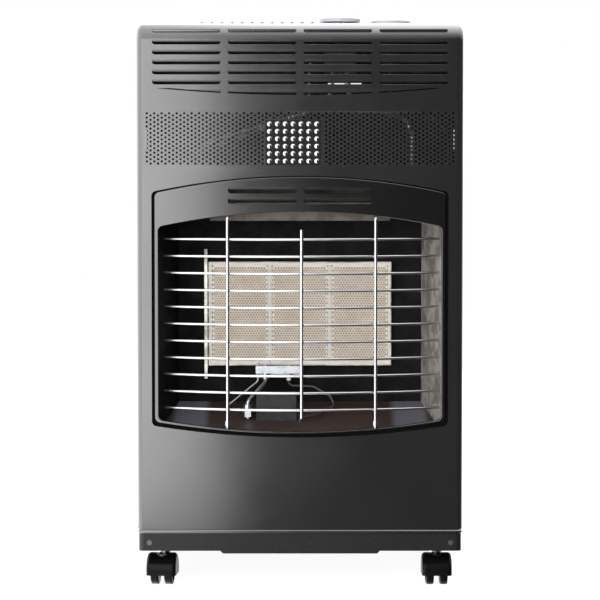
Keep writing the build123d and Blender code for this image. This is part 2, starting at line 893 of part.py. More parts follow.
# Burner: a steel box with three ceramic tiles, fed by three mixing tubes
tile_back = tile_depth + tile_thickness
tube_y = tile_back + tube_radius + tube_clear
box_back = tile_depth + burner_box_depth
tube_xs = [(i - (tile_count - 1) / 2) * tile_width for i in range(tile_count)]
with BuildPart() as burner_box:
    block((-box_half, box_half), (tile_depth, box_back), (burner_low, burner_high))
    inner = box_half - burner_sheet
    block((-inner, inner), (tile_depth, box_back - burner_sheet),
          (burner_low + burner_sheet, burner_high - burner_sheet), Mode.SUBTRACT)
    ledge = (tile_back + float_gap, tile_back + float_gap + burner_sheet)
    block((-inner, inner), ledge, (burner_low + burner_sheet, burner_high - burner_sheet))
    for x in tube_xs:
        reach = tile_width / 2 - tile_rim
        block((x - reach, x + reach), ledge,
              (tile_low + tile_rim, tile_high - tile_rim), Mode.SUBTRACT)
    flange_front = recess_depth + sheet
    wide = box_half + burner_flange
    block((-wide, wide), (flange_front, flange_front + burner_sheet),
          (burner_low - burner_flange, burner_high + burner_flange))
    block((-inner, inner), (flange_front - 1, flange_front + burner_sheet + 1),
          (burner_low + burner_sheet, burner_high - burner_sheet), Mode.SUBTRACT)
    block((-inner, inner), ledge, (burner_low + burner_sheet, tile_low + tile_rim))
    block((-inner, inner), ledge, (tile_high - tile_rim, burner_high - burner_sheet))
    for edge in (-inner, inner - tile_rim):
        block((edge, edge + tile_rim), ledge, (burner_low + burner_sheet, burner_high - burner_sheet))
    for x in tube_xs[1:]:
        seam = x - tile_width / 2
        block((seam - tile_rim, seam + tile_rim), ledge,
              (burner_low + burner_sheet, burner_high - burner_sheet))
    for x in tube_xs:
        rod((x, tube_y, burner_low - burner_flange - 1), (x, tube_y, burner_low + 2 * burner_sheet),
            tube_radius, Mode.SUBTRACT)
finish(burner_box.part, "burner_box")

with BuildPart() as ceramic_tiles:
    for x in tube_xs:
        reach = (tile_width - tile_seam) / 2
        block((x - reach, x + reach), (tile_depth, tile_back), (tile_low, tile_high))
        block((x - reach + tile_rim, x + reach - tile_rim), (tile_depth, tile_depth + tile_sink),
              (tile_low + tile_rim, tile_high - tile_rim), Mode.SUBTRACT)
finish(ceramic_tiles.part, "ceramic_tiles")

with BuildPart() as tile_gasket:
    block((-field_half - gasket, field_half + gasket), (tile_depth + gasket_set, tile_back),
          (tile_low - gasket, tile_high + gasket))
    block((-field_half, field_half), (tile_depth + gasket_set, tile_back),
          (tile_low, tile_high), Mode.SUBTRACT)
finish(tile_gasket.part, "tile_gasket")

with BuildPart() as mixing_tubes:
    for x in tube_xs:
        rod((x, tube_y, tube_low), (x, tube_y, burner_low + burner_sheet), tube_radius)
        with Locations((x, back(tube_y), tube_low)):
            Cone(bell_radius, tube_radius, bell_height, align=(Align.CENTER, Align.CENTER, Align.MIN))
            Cone(bell_radius - tube_wall, tube_radius - tube_wall, bell_height,
                 align=(Align.CENTER, Align.CENTER, Align.MIN), mode=Mode.SUBTRACT)
        rod((x, tube_y, tube_low + bell_height), (x, tube_y, burner_high), tube_radius - tube_wall,
            Mode.SUBTRACT)
finish(mixing_tubes.part, "mixing_tubes")

with BuildPart() as injector_manifold:
    rod((-manifold_half, tube_y, manifold_z), (manifold_half, tube_y, manifold_z), manifold_radius)
    rod((-manifold_half + manifold_end, tube_y, manifold_z), (manifold_half, tube_y, manifold_z),
        manifold_radius - manifold_wall, Mode.SUBTRACT)
    for x in tube_xs:
        boss_top_z = manifold_z + manifold_radius + manifold_boss
        rod((x, tube_y, boss_top_z - manifold_boss - manifold_wall / 2), (x, tube_y, boss_top_z),
            injector_radius + manifold_boss_wall)
        rod((x, tube_y, manifold_z), (x, tube_y, boss_top_z + 1), injector_radius, Mode.SUBTRACT)
    for x in (-manifold_foot_x, manifold_foot_x):
        block((x - manifold_foot_half, x + manifold_foot_half),
              (recess_depth + sheet, tube_y - manifold_radius + manifold_wall),
              (manifold_z - manifold_foot_height, manifold_z + manifold_foot_height))
finish(injector_manifold.part, "injector_manifold")

with BuildPart() as injectors:
    for x in tube_xs:
        base = manifold_z + manifold_radius - injector_seat
        hex_low = base + injector_seat + manifold_boss
        rod((x, tube_y, base), (x, tube_y, base + injector_height), injector_radius)
        rod((x, tube_y, hex_low), (x, tube_y, hex_low + injector_hex_height),
            injector_radius + injector_hex_over)
        rod((x, tube_y, base), (x, tube_y, base + injector_height), injector_bore, Mode.SUBTRACT)
finish(injectors.part, "injectors")

with BuildPart() as burner_strap:
    strap = (strap_x - strap_width / 2, strap_x + strap_width / 2)
    strap_low = tile_low - strap_over
    strap_high = tile_high + strap_over
    front = recess_depth - lap
    block(strap, (front, front + strap_sheet), (strap_low, strap_high))
    for z in (strap_low, strap_high - strap_sheet):
        block(strap, (front, recess_depth), (z, z + strap_sheet))
finish(burner_strap.part, "burner_strap")

# Pilot group below the burner
bracket_right = bracket_left + bracket_width
web_top = bracket_low + bracket_sheet
with BuildPart() as pilot_bracket:
    block((bracket_left, bracket_right), (bracket_depth, bracket_depth + bracket_sheet),
          (bracket_low, bracket_low + bracket_height))
    block((bracket_left, bracket_right), (bracket_depth, recess_depth), (bracket_low, web_top))
    block((bracket_left, bracket_right), (recess_depth - bracket_sheet, recess_depth),
          (bracket_low - lap / 2, web_top))
    for x, radius in ((pilot_x, pilot_radius), (electrode_x, electrode_radius), (probe_x, probe_radius)):
        rod((x, pilot_depth, 0), (x, pilot_depth, cabinet_top), radius + snug, Mode.SUBTRACT)
finish(pilot_bracket.part, "pilot_bracket")

with BuildPart() as pilot_burner:
    pilot_base = bracket_low - pilot_under
    rod((pilot_x, pilot_depth, pilot_base), (pilot_x, pilot_depth, web_top + pilot_over), pilot_radius)
    block((pilot_x - pilot_foot_x, pilot_x + pilot_foot_x),
          (pilot_depth - pilot_foot_y, pilot_depth + pilot_foot_y), (web_top, web_top + pilot_foot))
    block((pilot_x - pilot_radius / 2, pilot_x + pilot_radius + 1),
          (pilot_depth - pilot_radius / 2, pilot_depth + pilot_radius / 2),
          (web_top + pilot_slot_low, web_top + pilot_slot_low + pilot_slot_height), Mode.SUBTRACT)
    rod((pilot_x, pilot_depth, pilot_base), (pilot_x, pilot_depth, pilot_base + pilot_socket),
        pilot_tube_radius, Mode.SUBTRACT)
finish(pilot_burner.part, "pilot_burner")

with BuildPart() as ignition_electrode:
    electrode_base = bracket_low - electrode_under
    tip_z = web_top + electrode_over + electrode_tip
    rod((electrode_x, pilot_depth, electrode_base), (electrode_x, pilot_depth, web_top + electrode_over),
        electrode_radius)
    rod((electrode_x, pilot_depth, web_top), (electrode_x, pilot_depth, web_top + pilot_foot),
        electrode_radius + electrode_ring)
    rod((electrode_x, pilot_depth, web_top + electrode_over - 1), (electrode_x, pilot_depth, tip_z),
        electrode_wire)
    rod((electrode_x + electrode_wire, pilot_depth, tip_z),
        (electrode_x - electrode_reach, pilot_depth, tip_z), electrode_wire)
finish(ignition_electrode.part, "ignition_electrode")

valve_high = cabinet_top - sheet - valve_drop
valve_low = valve_high - valve_height


def tube(points, radii, radius):
    """A round tube or lead along straight runs joined by tangent arcs."""
    places = [Vector(x, back(depth), z) for x, depth, z in points]
    with BuildPart(mode=Mode.PRIVATE) as line:
        with BuildLine() as path:
            FilletPolyline(*places, radius=radii)
        with BuildSketch(Plane(origin=path.line @ 0, z_dir=path.line % 0)):
            Circle(radius)
        sweep()
    return line.part


behind = recess_depth + 22.0  # depth of the upright runs behind the back plate
left_run = -144.0
pilot_route = [
    (pilot_x, pilot_depth, bracket_low - pilot_under + pilot_socket),
    (pilot_x, pilot_depth, bracket_low - 12),
    (nut_x, nut_depth, tile_low - 45),
    (nut_x, nut_depth, under_z),
    (pilot_pass[0], nut_depth + 40, under_z),
    (pilot_pass[0], behind, under_z),
    (left_run, behind, under_z + 36),
    (left_run, behind, lead_z - 25),
    (knob_x - port_spread, control_depth, lead_z + 30),
    (knob_x - port_spread, control_depth, valve_low),
]
with BuildPart() as pilot_tube:
    add(tube(pilot_route, [8, 6, 14, 14, 12, 14, 40, 40], pilot_tube_radius))
finish(pilot_tube.part, "pilot_tube")

probe_route = [
    (probe_x, pilot_depth, bracket_low - probe_under),
    (probe_x, pilot_depth, bracket_low - 11),
    (probe_hole[0], probe_hole[1], tile_low - 54),
    (probe_hole[0], probe_hole[1], under_z + 8),
    (probe_pass[0], recess_depth - 12, under_z),
    (probe_pass[0], behind, under_z),
    (left_run - 14, behind, under_z + 40),
    (left_run - 14, behind, lead_z - 40),
    (knob_x - valve_width / 2 - 20, control_depth, lead_z + 20),
    (knob_x - valve_width / 2 - 20, control_depth, valve_low + valve_height / 2),
    (knob_x - valve_width / 2, control_depth, valve_low + valve_height / 2),
]
with BuildPart() as thermocouple:
    rod((probe_x, pilot_depth, bracket_low - probe_under), (probe_x, pilot_depth, web_top + probe_over),
        probe_radius)
    rod((probe_x, pilot_depth, web_top), (probe_x, pilot_depth, web_top + pilot_foot),
        probe_radius + probe_ring)
    add(tube(probe_route, [6, 5, 8, 12, 10, 12, 40, 30, 10], probe_lead_radius))
finish(thermocouple.part, "thermocouple")

spark_route = [
    (electrode_x, pilot_depth, bracket_low - electrode_under),
    (electrode_x, pilot_depth, bracket_low - 17),
    (18, 104, tile_low - 29),
    (40, 95, tile_low - 41),
    (46, 88, tile_low - 53),
    (33, 76, tile_low - 58),
    (24, 62, tile_low - 62.5),
    (spark_hole[0], spark_hole[1], tile_low - 65),
    (spark_hole[0], spark_hole[1], under_z + 6),
    (90, 56, under_z),
    (half_width - 13, 90, under_z + 18),
    (half_width - 13, 96, lead_z),
    (igniter_x, control_depth, lead_z + 40),
    (igniter_x, control_depth, cabinet_top - sheet - igniter_length),
]
with BuildPart() as ignition_lead:
    add(tube(spark_route, [6, 16, 8, 8, 6, 6, 4, 8, 16, 20, 40, 20], spark_lead_radius))
finish(ignition_lead.part, "ignition_lead")

with BuildPart() as pilot_nut:
    nut_base = floor_z(nut_depth) + nut_seat
    with BuildSketch(Plane.XY.offset(nut_base)):
        with Locations((nut_x, back(nut_depth))):
            RegularPolygon(nut_size, 6)
    extrude(amount=nut_length)
    nut_end = nut_base + nut_length + nut_neck_length
    rod((nut_x, nut_depth, nut_end - nut_neck_length - 1), (nut_x, nut_depth, nut_end), nut_neck)
    rod((nut_x, nut_depth, 0), (nut_x, nut_depth, nut_end + 1), pilot_tube_radius + running_gap,
        Mode.SUBTRACT)
finish(pilot_nut.part, "pilot_nut")

with BuildPart() as pilot_cover:
    box_right = box_left + box_width
    box_end = box_depth + box_length
    block((box_left, box_right), (box_depth, box_end), (0, box_top))
    fillet(pilot_cover.edges().filter_by(Axis.X).group_by(Axis.Z)[-1], box_round)
    block((box_left + sheet, box_right - sheet), (box_depth + sheet, box_end - sheet),
          (0, box_top - sheet), Mode.SUBTRACT)
    floor_normal = Vector(0, -floor_rise, recess_depth - floor_front)
    split(bisect_by=Plane(origin=(0, back(floor_front), floor_front_z), z_dir=floor_normal))
finish(pilot_cover.part, "pilot_cover")

# Gas valve with its hose tail, hung from the top panel
with BuildPart() as gas_valve:
    side = valve_width / 2
    near = control_depth - valve_length / 2
    far = control_depth + valve_length / 2
    block((knob_x - side, knob_x + side), (near, far), (valve_low, valve_high))
    fillet(gas_valve.edges().filter_by(Axis.Z), valve_round)
    rod((knob_x, control_depth, valve_high - 1), (knob_x, control_depth, cabinet_top - sheet),
        bonnet_radius)
    block((knob_x - side, knob_x + side), (near, far),
          (cabinet_top - sheet - valve_flange, cabinet_top - sheet))
    middle = (valve_low + valve_high) / 2
    boss_end = far + valve_boss_length
    rod((knob_x, far - 1, middle), (knob_x, boss_end, middle), valve_boss_radius)
    rod((knob_x, boss_end - hose_thread, middle), (knob_x, boss_end, middle), hose_radius, Mode.SUBTRACT)
    rod((knob_x, control_depth, valve_low + valve_floor), (knob_x, control_depth, cabinet_top),
        spindle_radius + running_gap, Mode.SUBTRACT)
    rod((knob_x, control_depth, valve_high - collar_well), (knob_x, control_depth, cabinet_top),
        collar_width + running_gap, Mode.SUBTRACT)
finish(gas_valve.part, "gas_valve")

# Hose tail: a hexagon, a plain spigot for the clamp and two barbs
tail_z = valve_low + valve_height / 2
tail_hex = control_depth + valve_length / 2 + valve_boss_length
tail_start = tail_hex + hose_hex_length
barb_start = tail_start + hose_plain
with BuildPart() as hose_tail:
    with BuildSketch(Plane(origin=(knob_x, back(tail_hex), tail_z), z_dir=(0, 1, 0))):
        RegularPolygon(hose_hex_radius, 6)
    extrude(amount=hose_hex_length)
    rod((knob_x, tail_hex - hose_thread, tail_z), (knob_x, barb_start, tail_z), hose_radius)
    for barb in range(hose_barbs):
        start = barb_start + barb * hose_barb_length
        with Locations(Plane(origin=(knob_x, back(start), tail_z), z_dir=(0, 1, 0))):
            Cone(hose_radius, hose_radius - hose_barb_step, hose_barb_length,
                 align=(Align.CENTER, Align.CENTER, Align.MIN))
    rod((knob_x, tail_hex - hose_thread, tail_z),
        (knob_x, barb_start + hose_barbs * hose_barb_length, tail_z), hose_bore, Mode.SUBTRACT)
finish(hose_tail.part, "hose_tail")

feed_route = [
    (knob_x + port_spread, control_depth, valve_low),
    (knob_x + port_spread, control_depth, valve_low - 34),
    (feed_x, tube_y, valve_low - 62),
    (feed_x, tube_y, manifold_z),
    (manifold_half, tube_y, manifold_z),
]
with BuildPart() as feed_pipe:
    add(tube(feed_route, feed_bends, feed_radius))
    add(tube(feed_route, feed_bends, feed_radius - feed_wall), mode=Mode.SUBTRACT)
finish(feed_pipe.part, "feed_pipe")

# Spindle, its thrust collar and the control knob
spring_room = knob_press + 1
collar_z = cabinet_top - sheet - collar_thickness - collar_head
with BuildPart() as thrust_collar:
    rod((knob_x, control_depth, collar_z), (knob_x, control_depth, collar_z + collar_thickness),
        collar_width)
    rod((knob_x, control_depth, collar_z - 1), (knob_x, control_depth, collar_z + collar_thickness + 1),
        spindle_radius + running_gap, Mode.SUBTRACT)
finish(thrust_collar.part, "thrust_collar")

knob_low = cabinet_top + dial_thickness + knob_press + seat_gap
knob_top = knob_low + knob_height - knob_press
with BuildPart() as valve_spindle:
    rod((knob_x, control_depth, valve_low + valve_floor + spring_room),
        (knob_x, control_depth, knob_low + knob_socket), spindle_radius)
    rod((knob_x, control_depth, collar_z - 1 - snug), (knob_x, control_depth, collar_z - snug),
        spindle_radius + collar_lip)
    block((knob_x + spindle_flat, knob_x + spindle_radius + 1), (0, body_depth),
          (cabinet_top, knob_top), Mode.SUBTRACT)
finish(valve_spindle.part, "valve_spindle")

dome_radius = (knob_radius**2 + knob_dome**2) / (2 * knob_dome)
with BuildPart() as control_knob:
    rod((knob_x, control_depth, knob_low), (knob_x, control_depth, knob_top), knob_radius)
    with Locations((knob_x, back(control_depth), knob_top - dome_radius)):
        Sphere(dome_radius, mode=Mode.INTERSECT)
    rim = control_knob.edges().filter_by(lambda edge: edge.is_closed).sort_by(Axis.Z)[-1]
    fillet(rim, knob_round)
    rod((knob_x, control_depth, knob_low - 1), (knob_x, control_depth, knob_low + knob_hollow),
        knob_radius - knob_wall, Mode.SUBTRACT)
    rod((knob_x, control_depth, knob_low), (knob_x, control_depth, knob_low + knob_hollow + 1),
        spindle_radius + knob_hub)
    with BuildPart(mode=Mode.PRIVATE) as socket:
        rod((knob_x, control_depth, knob_low - 1), (knob_x, control_depth, knob_low + knob_socket),
            spindle_radius)
        block((knob_x + spindle_flat, knob_x + spindle_radius + 1), (0, body_depth),
              (cabinet_top, knob_top), Mode.SUBTRACT)
    add(socket.part, mode=Mode.SUBTRACT)
finish(control_knob.part, "control_knob")

with BuildPart() as knob_bezel:
    rod((knob_x, control_depth, cabinet_top), (knob_x, control_depth, cabinet_top + dial_thickness),
        dial_radius)
    fillet(knob_bezel.edges().group_by(Axis.Z)[-1], dial_round)
    rod((knob_x, control_depth, cabinet_top - 1),
        (knob_x, control_depth, cabinet_top + dial_thickness + 1), spindle_radius + dial_hole, Mode.SUBTRACT)
finish(knob_bezel.part, "knob_bezel")

# Piezo igniter
bezel_top = cabinet_top + bezel_height
with BuildPart() as igniter_bezel:
    rod((igniter_x, control_depth, cabinet_top), (igniter_x, control_depth, bezel_top), bezel_radius)
    fillet(igniter_bezel.edges().group_by(Axis.Z)[-1], bezel_round)
    with Locations((igniter_x, back(control_depth), bezel_top)):
        Cone(button_radius + button_mouth, button_radius + bezel_mouth, bezel_funnel,
             align=(Align.CENTER, Align.CENTER, Align.MAX), mode=Mode.SUBTRACT)
    rod((igniter_x, control_depth, cabinet_top), (igniter_x, control_depth, bezel_top),
        button_radius + snug, Mode.SUBTRACT)
finish(igniter_bezel.part, "igniter_bezel")

body_low = cabinet_top - sheet - igniter_length
with BuildPart() as igniter_body:
    rod((igniter_x, control_depth, body_low), (igniter_x, control_depth, cabinet_top), igniter_radius)
    rod((igniter_x, control_depth, cabinet_top - sheet - igniter_flange_height),
        (igniter_x, control_depth, cabinet_top - sheet), igniter_radius + igniter_flange)
    rod((igniter_x, control_depth, cabinet_top - button_press - button_room),
        (igniter_x, control_depth, cabinet_top), button_radius + snug, Mode.SUBTRACT)
finish(igniter_body.part, "igniter_body")

with BuildPart() as igniter_button:
    rod((igniter_x, control_depth, cabinet_top - button_root),
        (igniter_x, control_depth, bezel_top - button_sunk), button_radius)
    fillet(igniter_button.edges().group_by(Axis.Z)[-1], button_round)
finish(igniter_button.part, "igniter_button")

# Top panel
with BuildPart(mode=Mode.PRIVATE) as top_ridge:
    with BuildSketch(Plane.XZ.offset(-top_louvre_length / 2)):
        with BuildLine():
            Polyline((0, -0.3), (top_louvre_width, -0.3), (top_louvre_width, top_louvre_rise), close=True)
        make_face()
    extrude(amount=top_louvre_length)
    fillet(top_ridge.edges().filter_by(Axis.Y).group_by(Axis.Z)[-1], 1.2)
with BuildPart(mode=Mode.PRIVATE) as top_hollow:
    with BuildSketch(Plane.XZ.offset(-top_louvre_length / 2 + sheet)):
        with BuildLine():
            Polyline(
                (2 * sheet, -2 * sheet),
                (2 * sheet, -sheet),
                (top_louvre_width, top_louvre_rise - 1.6 * sheet),
                (top_louvre_width + 1, top_louvre_rise - 1.6 * sheet),
                (top_louvre_width + 1, 0),
                (top_louvre_width, 0),
                (top_louvre_width, -2 * sheet),
                close=True,
            )
        make_face()
    extrude(amount=top_louvre_length - 2 * sheet)
ridge_places = [
    Location((top_louvre_first_x + i * top_louvre_pitch,
              back(top_louvre_start + top_louvre_length / 2), cabinet_top))
    for i in range(top_louvres)
]
with BuildPart() as top_panel:
    add(casing_outer)
    add(casing_inner, mode=Mode.SUBTRACT)
    split(bisect_by=seam_plane, keep=Keep.TOP)
    split(bisect_by=cap_plane, keep=Keep.TOP)
    block((-half_width + edge_radius, half_width - edge_radius), (side_depth - sheet, side_depth),
          (cabinet_top - flange, cabinet_top - sheet / 2))
    block((-half_width + edge_radius, half_width - edge_radius), (brow_radius, front_return + lap),
          (cabinet_top - 2 * sheet, cabinet_top - sheet))
    for place in ridge_places:
        add(place * top_ridge.part)
    for place in ridge_places:
        add(place * top_hollow.part, mode=Mode.SUBTRACT)
    rod((knob_x, control_depth, cabinet_top - 9), (knob_x, control_depth, cabinet_top + 9),
        collar_width, Mode.SUBTRACT)
    rod((igniter_x, control_depth, cabinet_top - 9), (igniter_x, control_depth, cabinet_top + 9),
        igniter_radius, Mode.SUBTRACT)
finish(top_panel.part, "top_panel")

# Side panels with a rear flange and a hand grip
pin_zs = (cabinet_low + stud_pin_rise, cabinet_top - stud_pin_drop)
pin_x = half_width - sheet - flange / 2
for side, name in ((-1, "side_panel_left"), (1, "side_panel_right")):
    outer = side * half_width
    inner = side * (half_width - sheet)
    with BuildPart() as side_panel:
        with BuildPart(mode=Mode.PRIVATE) as half_casing:
            add(casing_outer)
            add(casing_inner, mode=Mode.SUBTRACT)
            split(bisect_by=seam_plane, keep=Keep.TOP)
            split(bisect_by=cap_plane, keep=Keep.BOTTOM)
        add(half_casing.part.solids().sort_by(Axis.X)[-1 if side > 0 else 0])
        block(sorted((outer, outer - side * flange)), (side_depth - sheet, side_depth),
              (cabinet_low, cabinet_top - flange - 1))
        block(sorted((inner, inner - side * sheet)), (front_return - lap, front_return + lap),
              (cabinet_low + upstand + 2, cabinet_top - flange - 20))
        with BuildSketch(side_plane(0)):
            with Locations((back(grip_depth), grip_z)):
                SlotOverall(grip_width, grip_height)
        extrude(amount=side * half_width, mode=Mode.SUBTRACT)
        for z in pin_zs:
            rod((side * pin_x, side_depth - 5, z), (side * pin_x, side_depth + 5, z),
                stud_pin_radius + pin_clearance, Mode.SUBTRACT)
    finish(side_panel.part, name)

# Partition between burner and cylinder
floor_top = caster_height + tray_sheet
with BuildPart() as bay_partition:
    reach = half_width - skirt_inset - tray_sheet
    block((-reach, reach), (partition_depth, partition_depth + sheet), (floor_top, partition_top))
    for x in (-reach, reach - sheet):
        block((x, x + sheet), (partition_depth, partition_depth + lap), (floor_top, partition_top))
    block((-reach, reach), (partition_depth, partition_depth + lap),
          (partition_top - sheet, partition_top))
    block((knob_x - hose_pass_half, knob_x + hose_pass_half), (partition_depth - 1, partition_depth + 2),
          (tail_z - hose_pass_half, tail_z + hose_pass_half), Mode.SUBTRACT)
finish(bay_partition.part, "bay_partition")

# Rear cover with its studs
cover_half = half_width - cover_inset
cover_low = cabinet_low + cover_low_gap
cover_high = cabinet_top - cover_top_gap
vent_metal, vent_air = louvre(
    vent_slot_length, louvre_height, louvre_slot, louvre_depth, louvre_corner, louvre_taper, sheet
)
with BuildPart() as rear_cover:
    block((-cover_half, cover_half), (side_depth + seat_gap, body_depth), (cover_low, cover_high))
    fillet(rear_cover.edges().filter_by(Axis.Z).group_by(Axis.Y)[-1], cover_radius)
    fillet(rear_cover.faces().sort_by(Axis.Y)[-1].edges().filter_by(Axis.X), edge_radius)
    with BuildPart(mode=Mode.PRIVATE) as hollow:
        block((-cover_half + sheet, cover_half - sheet), (side_depth, body_depth - sheet),
              (cover_low + sheet, cover_high - sheet))
        fillet(hollow.edges().filter_by(Axis.Z).group_by(Axis.Y)[-1], cover_radius - sheet)
        fillet(hollow.faces().sort_by(Axis.Y)[-1].edges().filter_by(Axis.X), edge_radius - sheet)
    add(hollow.part, mode=Mode.SUBTRACT)
    block((-entry_half, entry_half), (side_depth, body_depth - cover_hem),
          (cover_low - 1, cover_low + edge_radius), Mode.SUBTRACT)
    rim_back = side_depth + seat_gap + sheet
    for x in (-cover_half, cover_half - cover_rim):
        block((x, x + cover_rim), (side_depth + seat_gap, rim_back), (cover_low, cover_high))
    slot_places = [
        Plane(origin=(x, back(body_depth), low + row * vent_slot_pitch), x_dir=(-1, 0, 0), z_dir=(0, 1, 0))
        for low in (cover_low + vent_low_rise, cover_high - vent_high_drop)
        for row in range(vent_rows)
        for x in (-vent_x, vent_x)
    ]
    for place in slot_places:
        add(place * vent_metal)
    for place in slot_places:
        add(place * vent_air, mode=Mode.SUBTRACT)
    for x in (-pin_x, pin_x):
        for z in pin_zs:
            rod((x, rim_back - stud_pin_length, z), (x, rim_back, z), stud_pin_radius)
finish(rear_cover.part, "rear_cover")

# Base tray
tray_half = half_width - skirt_inset
ledge_low = cabinet_low - ledge_height
stem_places = [
    (side * (half_width - caster_inset_x), depth)
    for depth in (caster_inset_front, body_depth - caster_inset_rear)
    for side in (-1, 1)
]
skirt_screws = [(side * (tray_half - screw_inset), 0, caster_height + screw_rise) for side in (-1, 1)]
bay_middle = (partition_depth + side_depth) / 2 + cover_depth / 2
well_middle = (partition_depth + side_depth) / 2
well_length = side_depth - partition_depth - 2 * well_margin
with BuildPart() as base_tray:
    block((-tray_half, tray_half), (skirt_inset, body_depth - skirt_inset),
          (caster_height, ledge_low + ledge_height / 2))
    fillet(base_tray.edges().filter_by(Axis.Z), edge_radius - skirt_inset)
    with BuildPart(mode=Mode.PRIVATE) as bead:
        block((-half_width, half_width), (-ledge_reach, body_depth), (ledge_low, cabinet_low))
        fillet(bead.edges().filter_by(Axis.Z), edge_radius)
        fillet(bead.edges().filter_by(Plane.XY), ledge_radius)
    add(bead.part)
    with BuildPart(mode=Mode.PRIVATE) as hollow:
        block(
            (-tray_half + tray_sheet, tray_half - tray_sheet),
            (skirt_inset + tray_sheet, body_depth - skirt_inset - tray_sheet),
            (floor_top, cabinet_low + upstand),
        )
        fillet(hollow.edges().filter_by(Axis.Z), edge_radius - skirt_inset - tray_sheet)
    with BuildPart(mode=Mode.PRIVATE) as collar:
        block(
            (-half_width + sheet, half_width - sheet),
            (sheet, side_depth - sheet),
            (cabinet_low - ledge_radius, cabinet_low + upstand),
        )
        fillet(collar.edges().filter_by(Axis.Z), edge_radius - sheet)
    add(collar.part)
    add(hollow.part, mode=Mode.SUBTRACT)
    # lip below the skirt at the front
    with BuildSketch(front_plane(skirt_inset + tray_sheet)):
        with BuildLine():
            Polyline(
                (-lip_half, caster_height + lip_root),
                (-lip_half, caster_height),
                (-lip_half + lip_drop, caster_height - lip_drop),
                (lip_half - lip_drop, caster_height - lip_drop),
                (lip_half, caster_height),
                (lip_half, caster_height + lip_root),
                close=True,
            )
        make_face()
    extrude(amount=tray_sheet)
    # rib round the cylinder's foot and the raised seat inside it
    with BuildSketch(Plane.XY.offset(floor_top)):
        with Locations((0, back(bay_middle))):
            Circle(well_radius)
            Circle(well_radius - well_rib, mode=Mode.SUBTRACT)
        with Locations((0, back(well_middle))):
            Rectangle(2 * well_radius, well_length, mode=Mode.INTERSECT)
    extrude(amount=well_rib)
    with BuildSketch(Plane.XY.offset(floor_top)):
        with Locations((0, back(bay_middle))):
            Circle(seat_radius)
        with Locations((0, back(well_middle))):
            Rectangle(2 * well_radius, well_length - 2 * seat_margin, mode=Mode.INTERSECT)
    extrude(amount=seat_rise)
    # low rear edge
    block((-entry_half, entry_half), (body_depth - entry_lip, body_depth + 1),
          (floor_top + entry_lip, cabinet_low + 1), Mode.SUBTRACT)
    for x, depth in stem_places:
        rod((x, depth, 0), (x, depth, cabinet_low), stem_radius, Mode.SUBTRACT)
    for x, depth, z in skirt_screws:
        rod((x, -1, z), (x, screw_length + 2, z), screw_radius, Mode.SUBTRACT)
finish(base_tray.part, "base_tray")

# Screws in the skirt and nuts on the caster stems
with BuildPart() as cabinet_fasteners:
    for x, depth, z in skirt_screws:
        rod((x, skirt_inset - screw_head_height, z), (x, skirt_inset, z), screw_head_radius)
        rod((x, skirt_inset - screw_head_height / 2, z), (x, skirt_inset + screw_length, z), screw_radius)
    for x, depth in stem_places:
        with BuildSketch(Plane.XY.offset(floor_top)):
            with Locations((x, back(depth))):
                RegularPolygon(nut_radius, 6)
                Circle(stem_radius, mode=Mode.SUBTRACT)
        extrude(amount=nut_height)
finish(cabinet_fasteners.part, "cabinet_fasteners")

# Casters
stem_low = boss_top - stem_engagement + 0.2
with BuildPart() as caster_stems:
    for x, depth in stem_places:
        rod((x, depth, stem_low), (x, depth, floor_top + nut_height + 3), stem_radius)
        rod((x, depth, boss_top + seat_gap), (x, depth, caster_height - plate_thickness / 2), collar_radius)
        rod((x, depth, caster_height - plate_thickness), (x, depth, caster_height), plate_radius)
finish(caster_stems.part, "caster_stems")

axle_half = wheel_outer + 1.2
with BuildPart(mode=Mode.PRIVATE) as hood_form:
    with Locations(Location((0, -trail, wheel_radius), (0, 90, 0))):
        Cylinder(hood_crown, 2 * hood_half)
    fillet(hood_form.edges().filter_by(GeomType.CIRCLE), 5)
    with Locations((0, 0, wheel_radius + 4)):
        Cylinder(boss_radius, boss_top - wheel_radius - 4, align=(Align.CENTER, Align.CENTER, Align.MIN))
    with BuildSketch(Plane.YZ.offset(-web_half)):
        with BuildLine():
            Polyline((-trail, wheel_radius), (5, 30), (5, boss_top), (-trail, boss_top), close=True)
        make_face()
    extrude(amount=2 * web_half)
    cavity_half = hood_half - hood_wall - web_half
    for side in (-1, 1):
        middle = side * (web_half + cavity_half / 2)
        with Locations(Location((middle, -trail, wheel_radius), (0, 90, 0))):
            Cylinder(wheel_radius + 1, cavity_half, mode=Mode.SUBTRACT)
    with Locations((0, -trail, hood_skirt_z)):
        Box(200, 200, 200, align=(Align.CENTER, Align.CENTER, Align.MAX), mode=Mode.SUBTRACT)
    # dip in the crown, through which the stem's collar shows
    with Locations(Location((0, -trail, hood_crown + wheel_radius + 6), (90, 0, 0))):
        Cylinder(9.5, 40, mode=Mode.SUBTRACT)
    with Locations((0, 0, boss_top - stem_engagement)):
        Cylinder(stem_radius + running_gap, stem_engagement + 9,
                 align=(Align.CENTER, Align.CENTER, Align.MIN), mode=Mode.SUBTRACT)
    with Locations(Location((0, -trail, wheel_radius), (0, 90, 0))):
        Cylinder(axle_radius, 4 * web_half, mode=Mode.SUBTRACT)

with BuildPart(mode=Mode.PRIVATE) as axle_form:
    with Locations(Location((0, -trail, wheel_radius), (0, 90, 0))):
        Cylinder(axle_radius, 2 * axle_half)

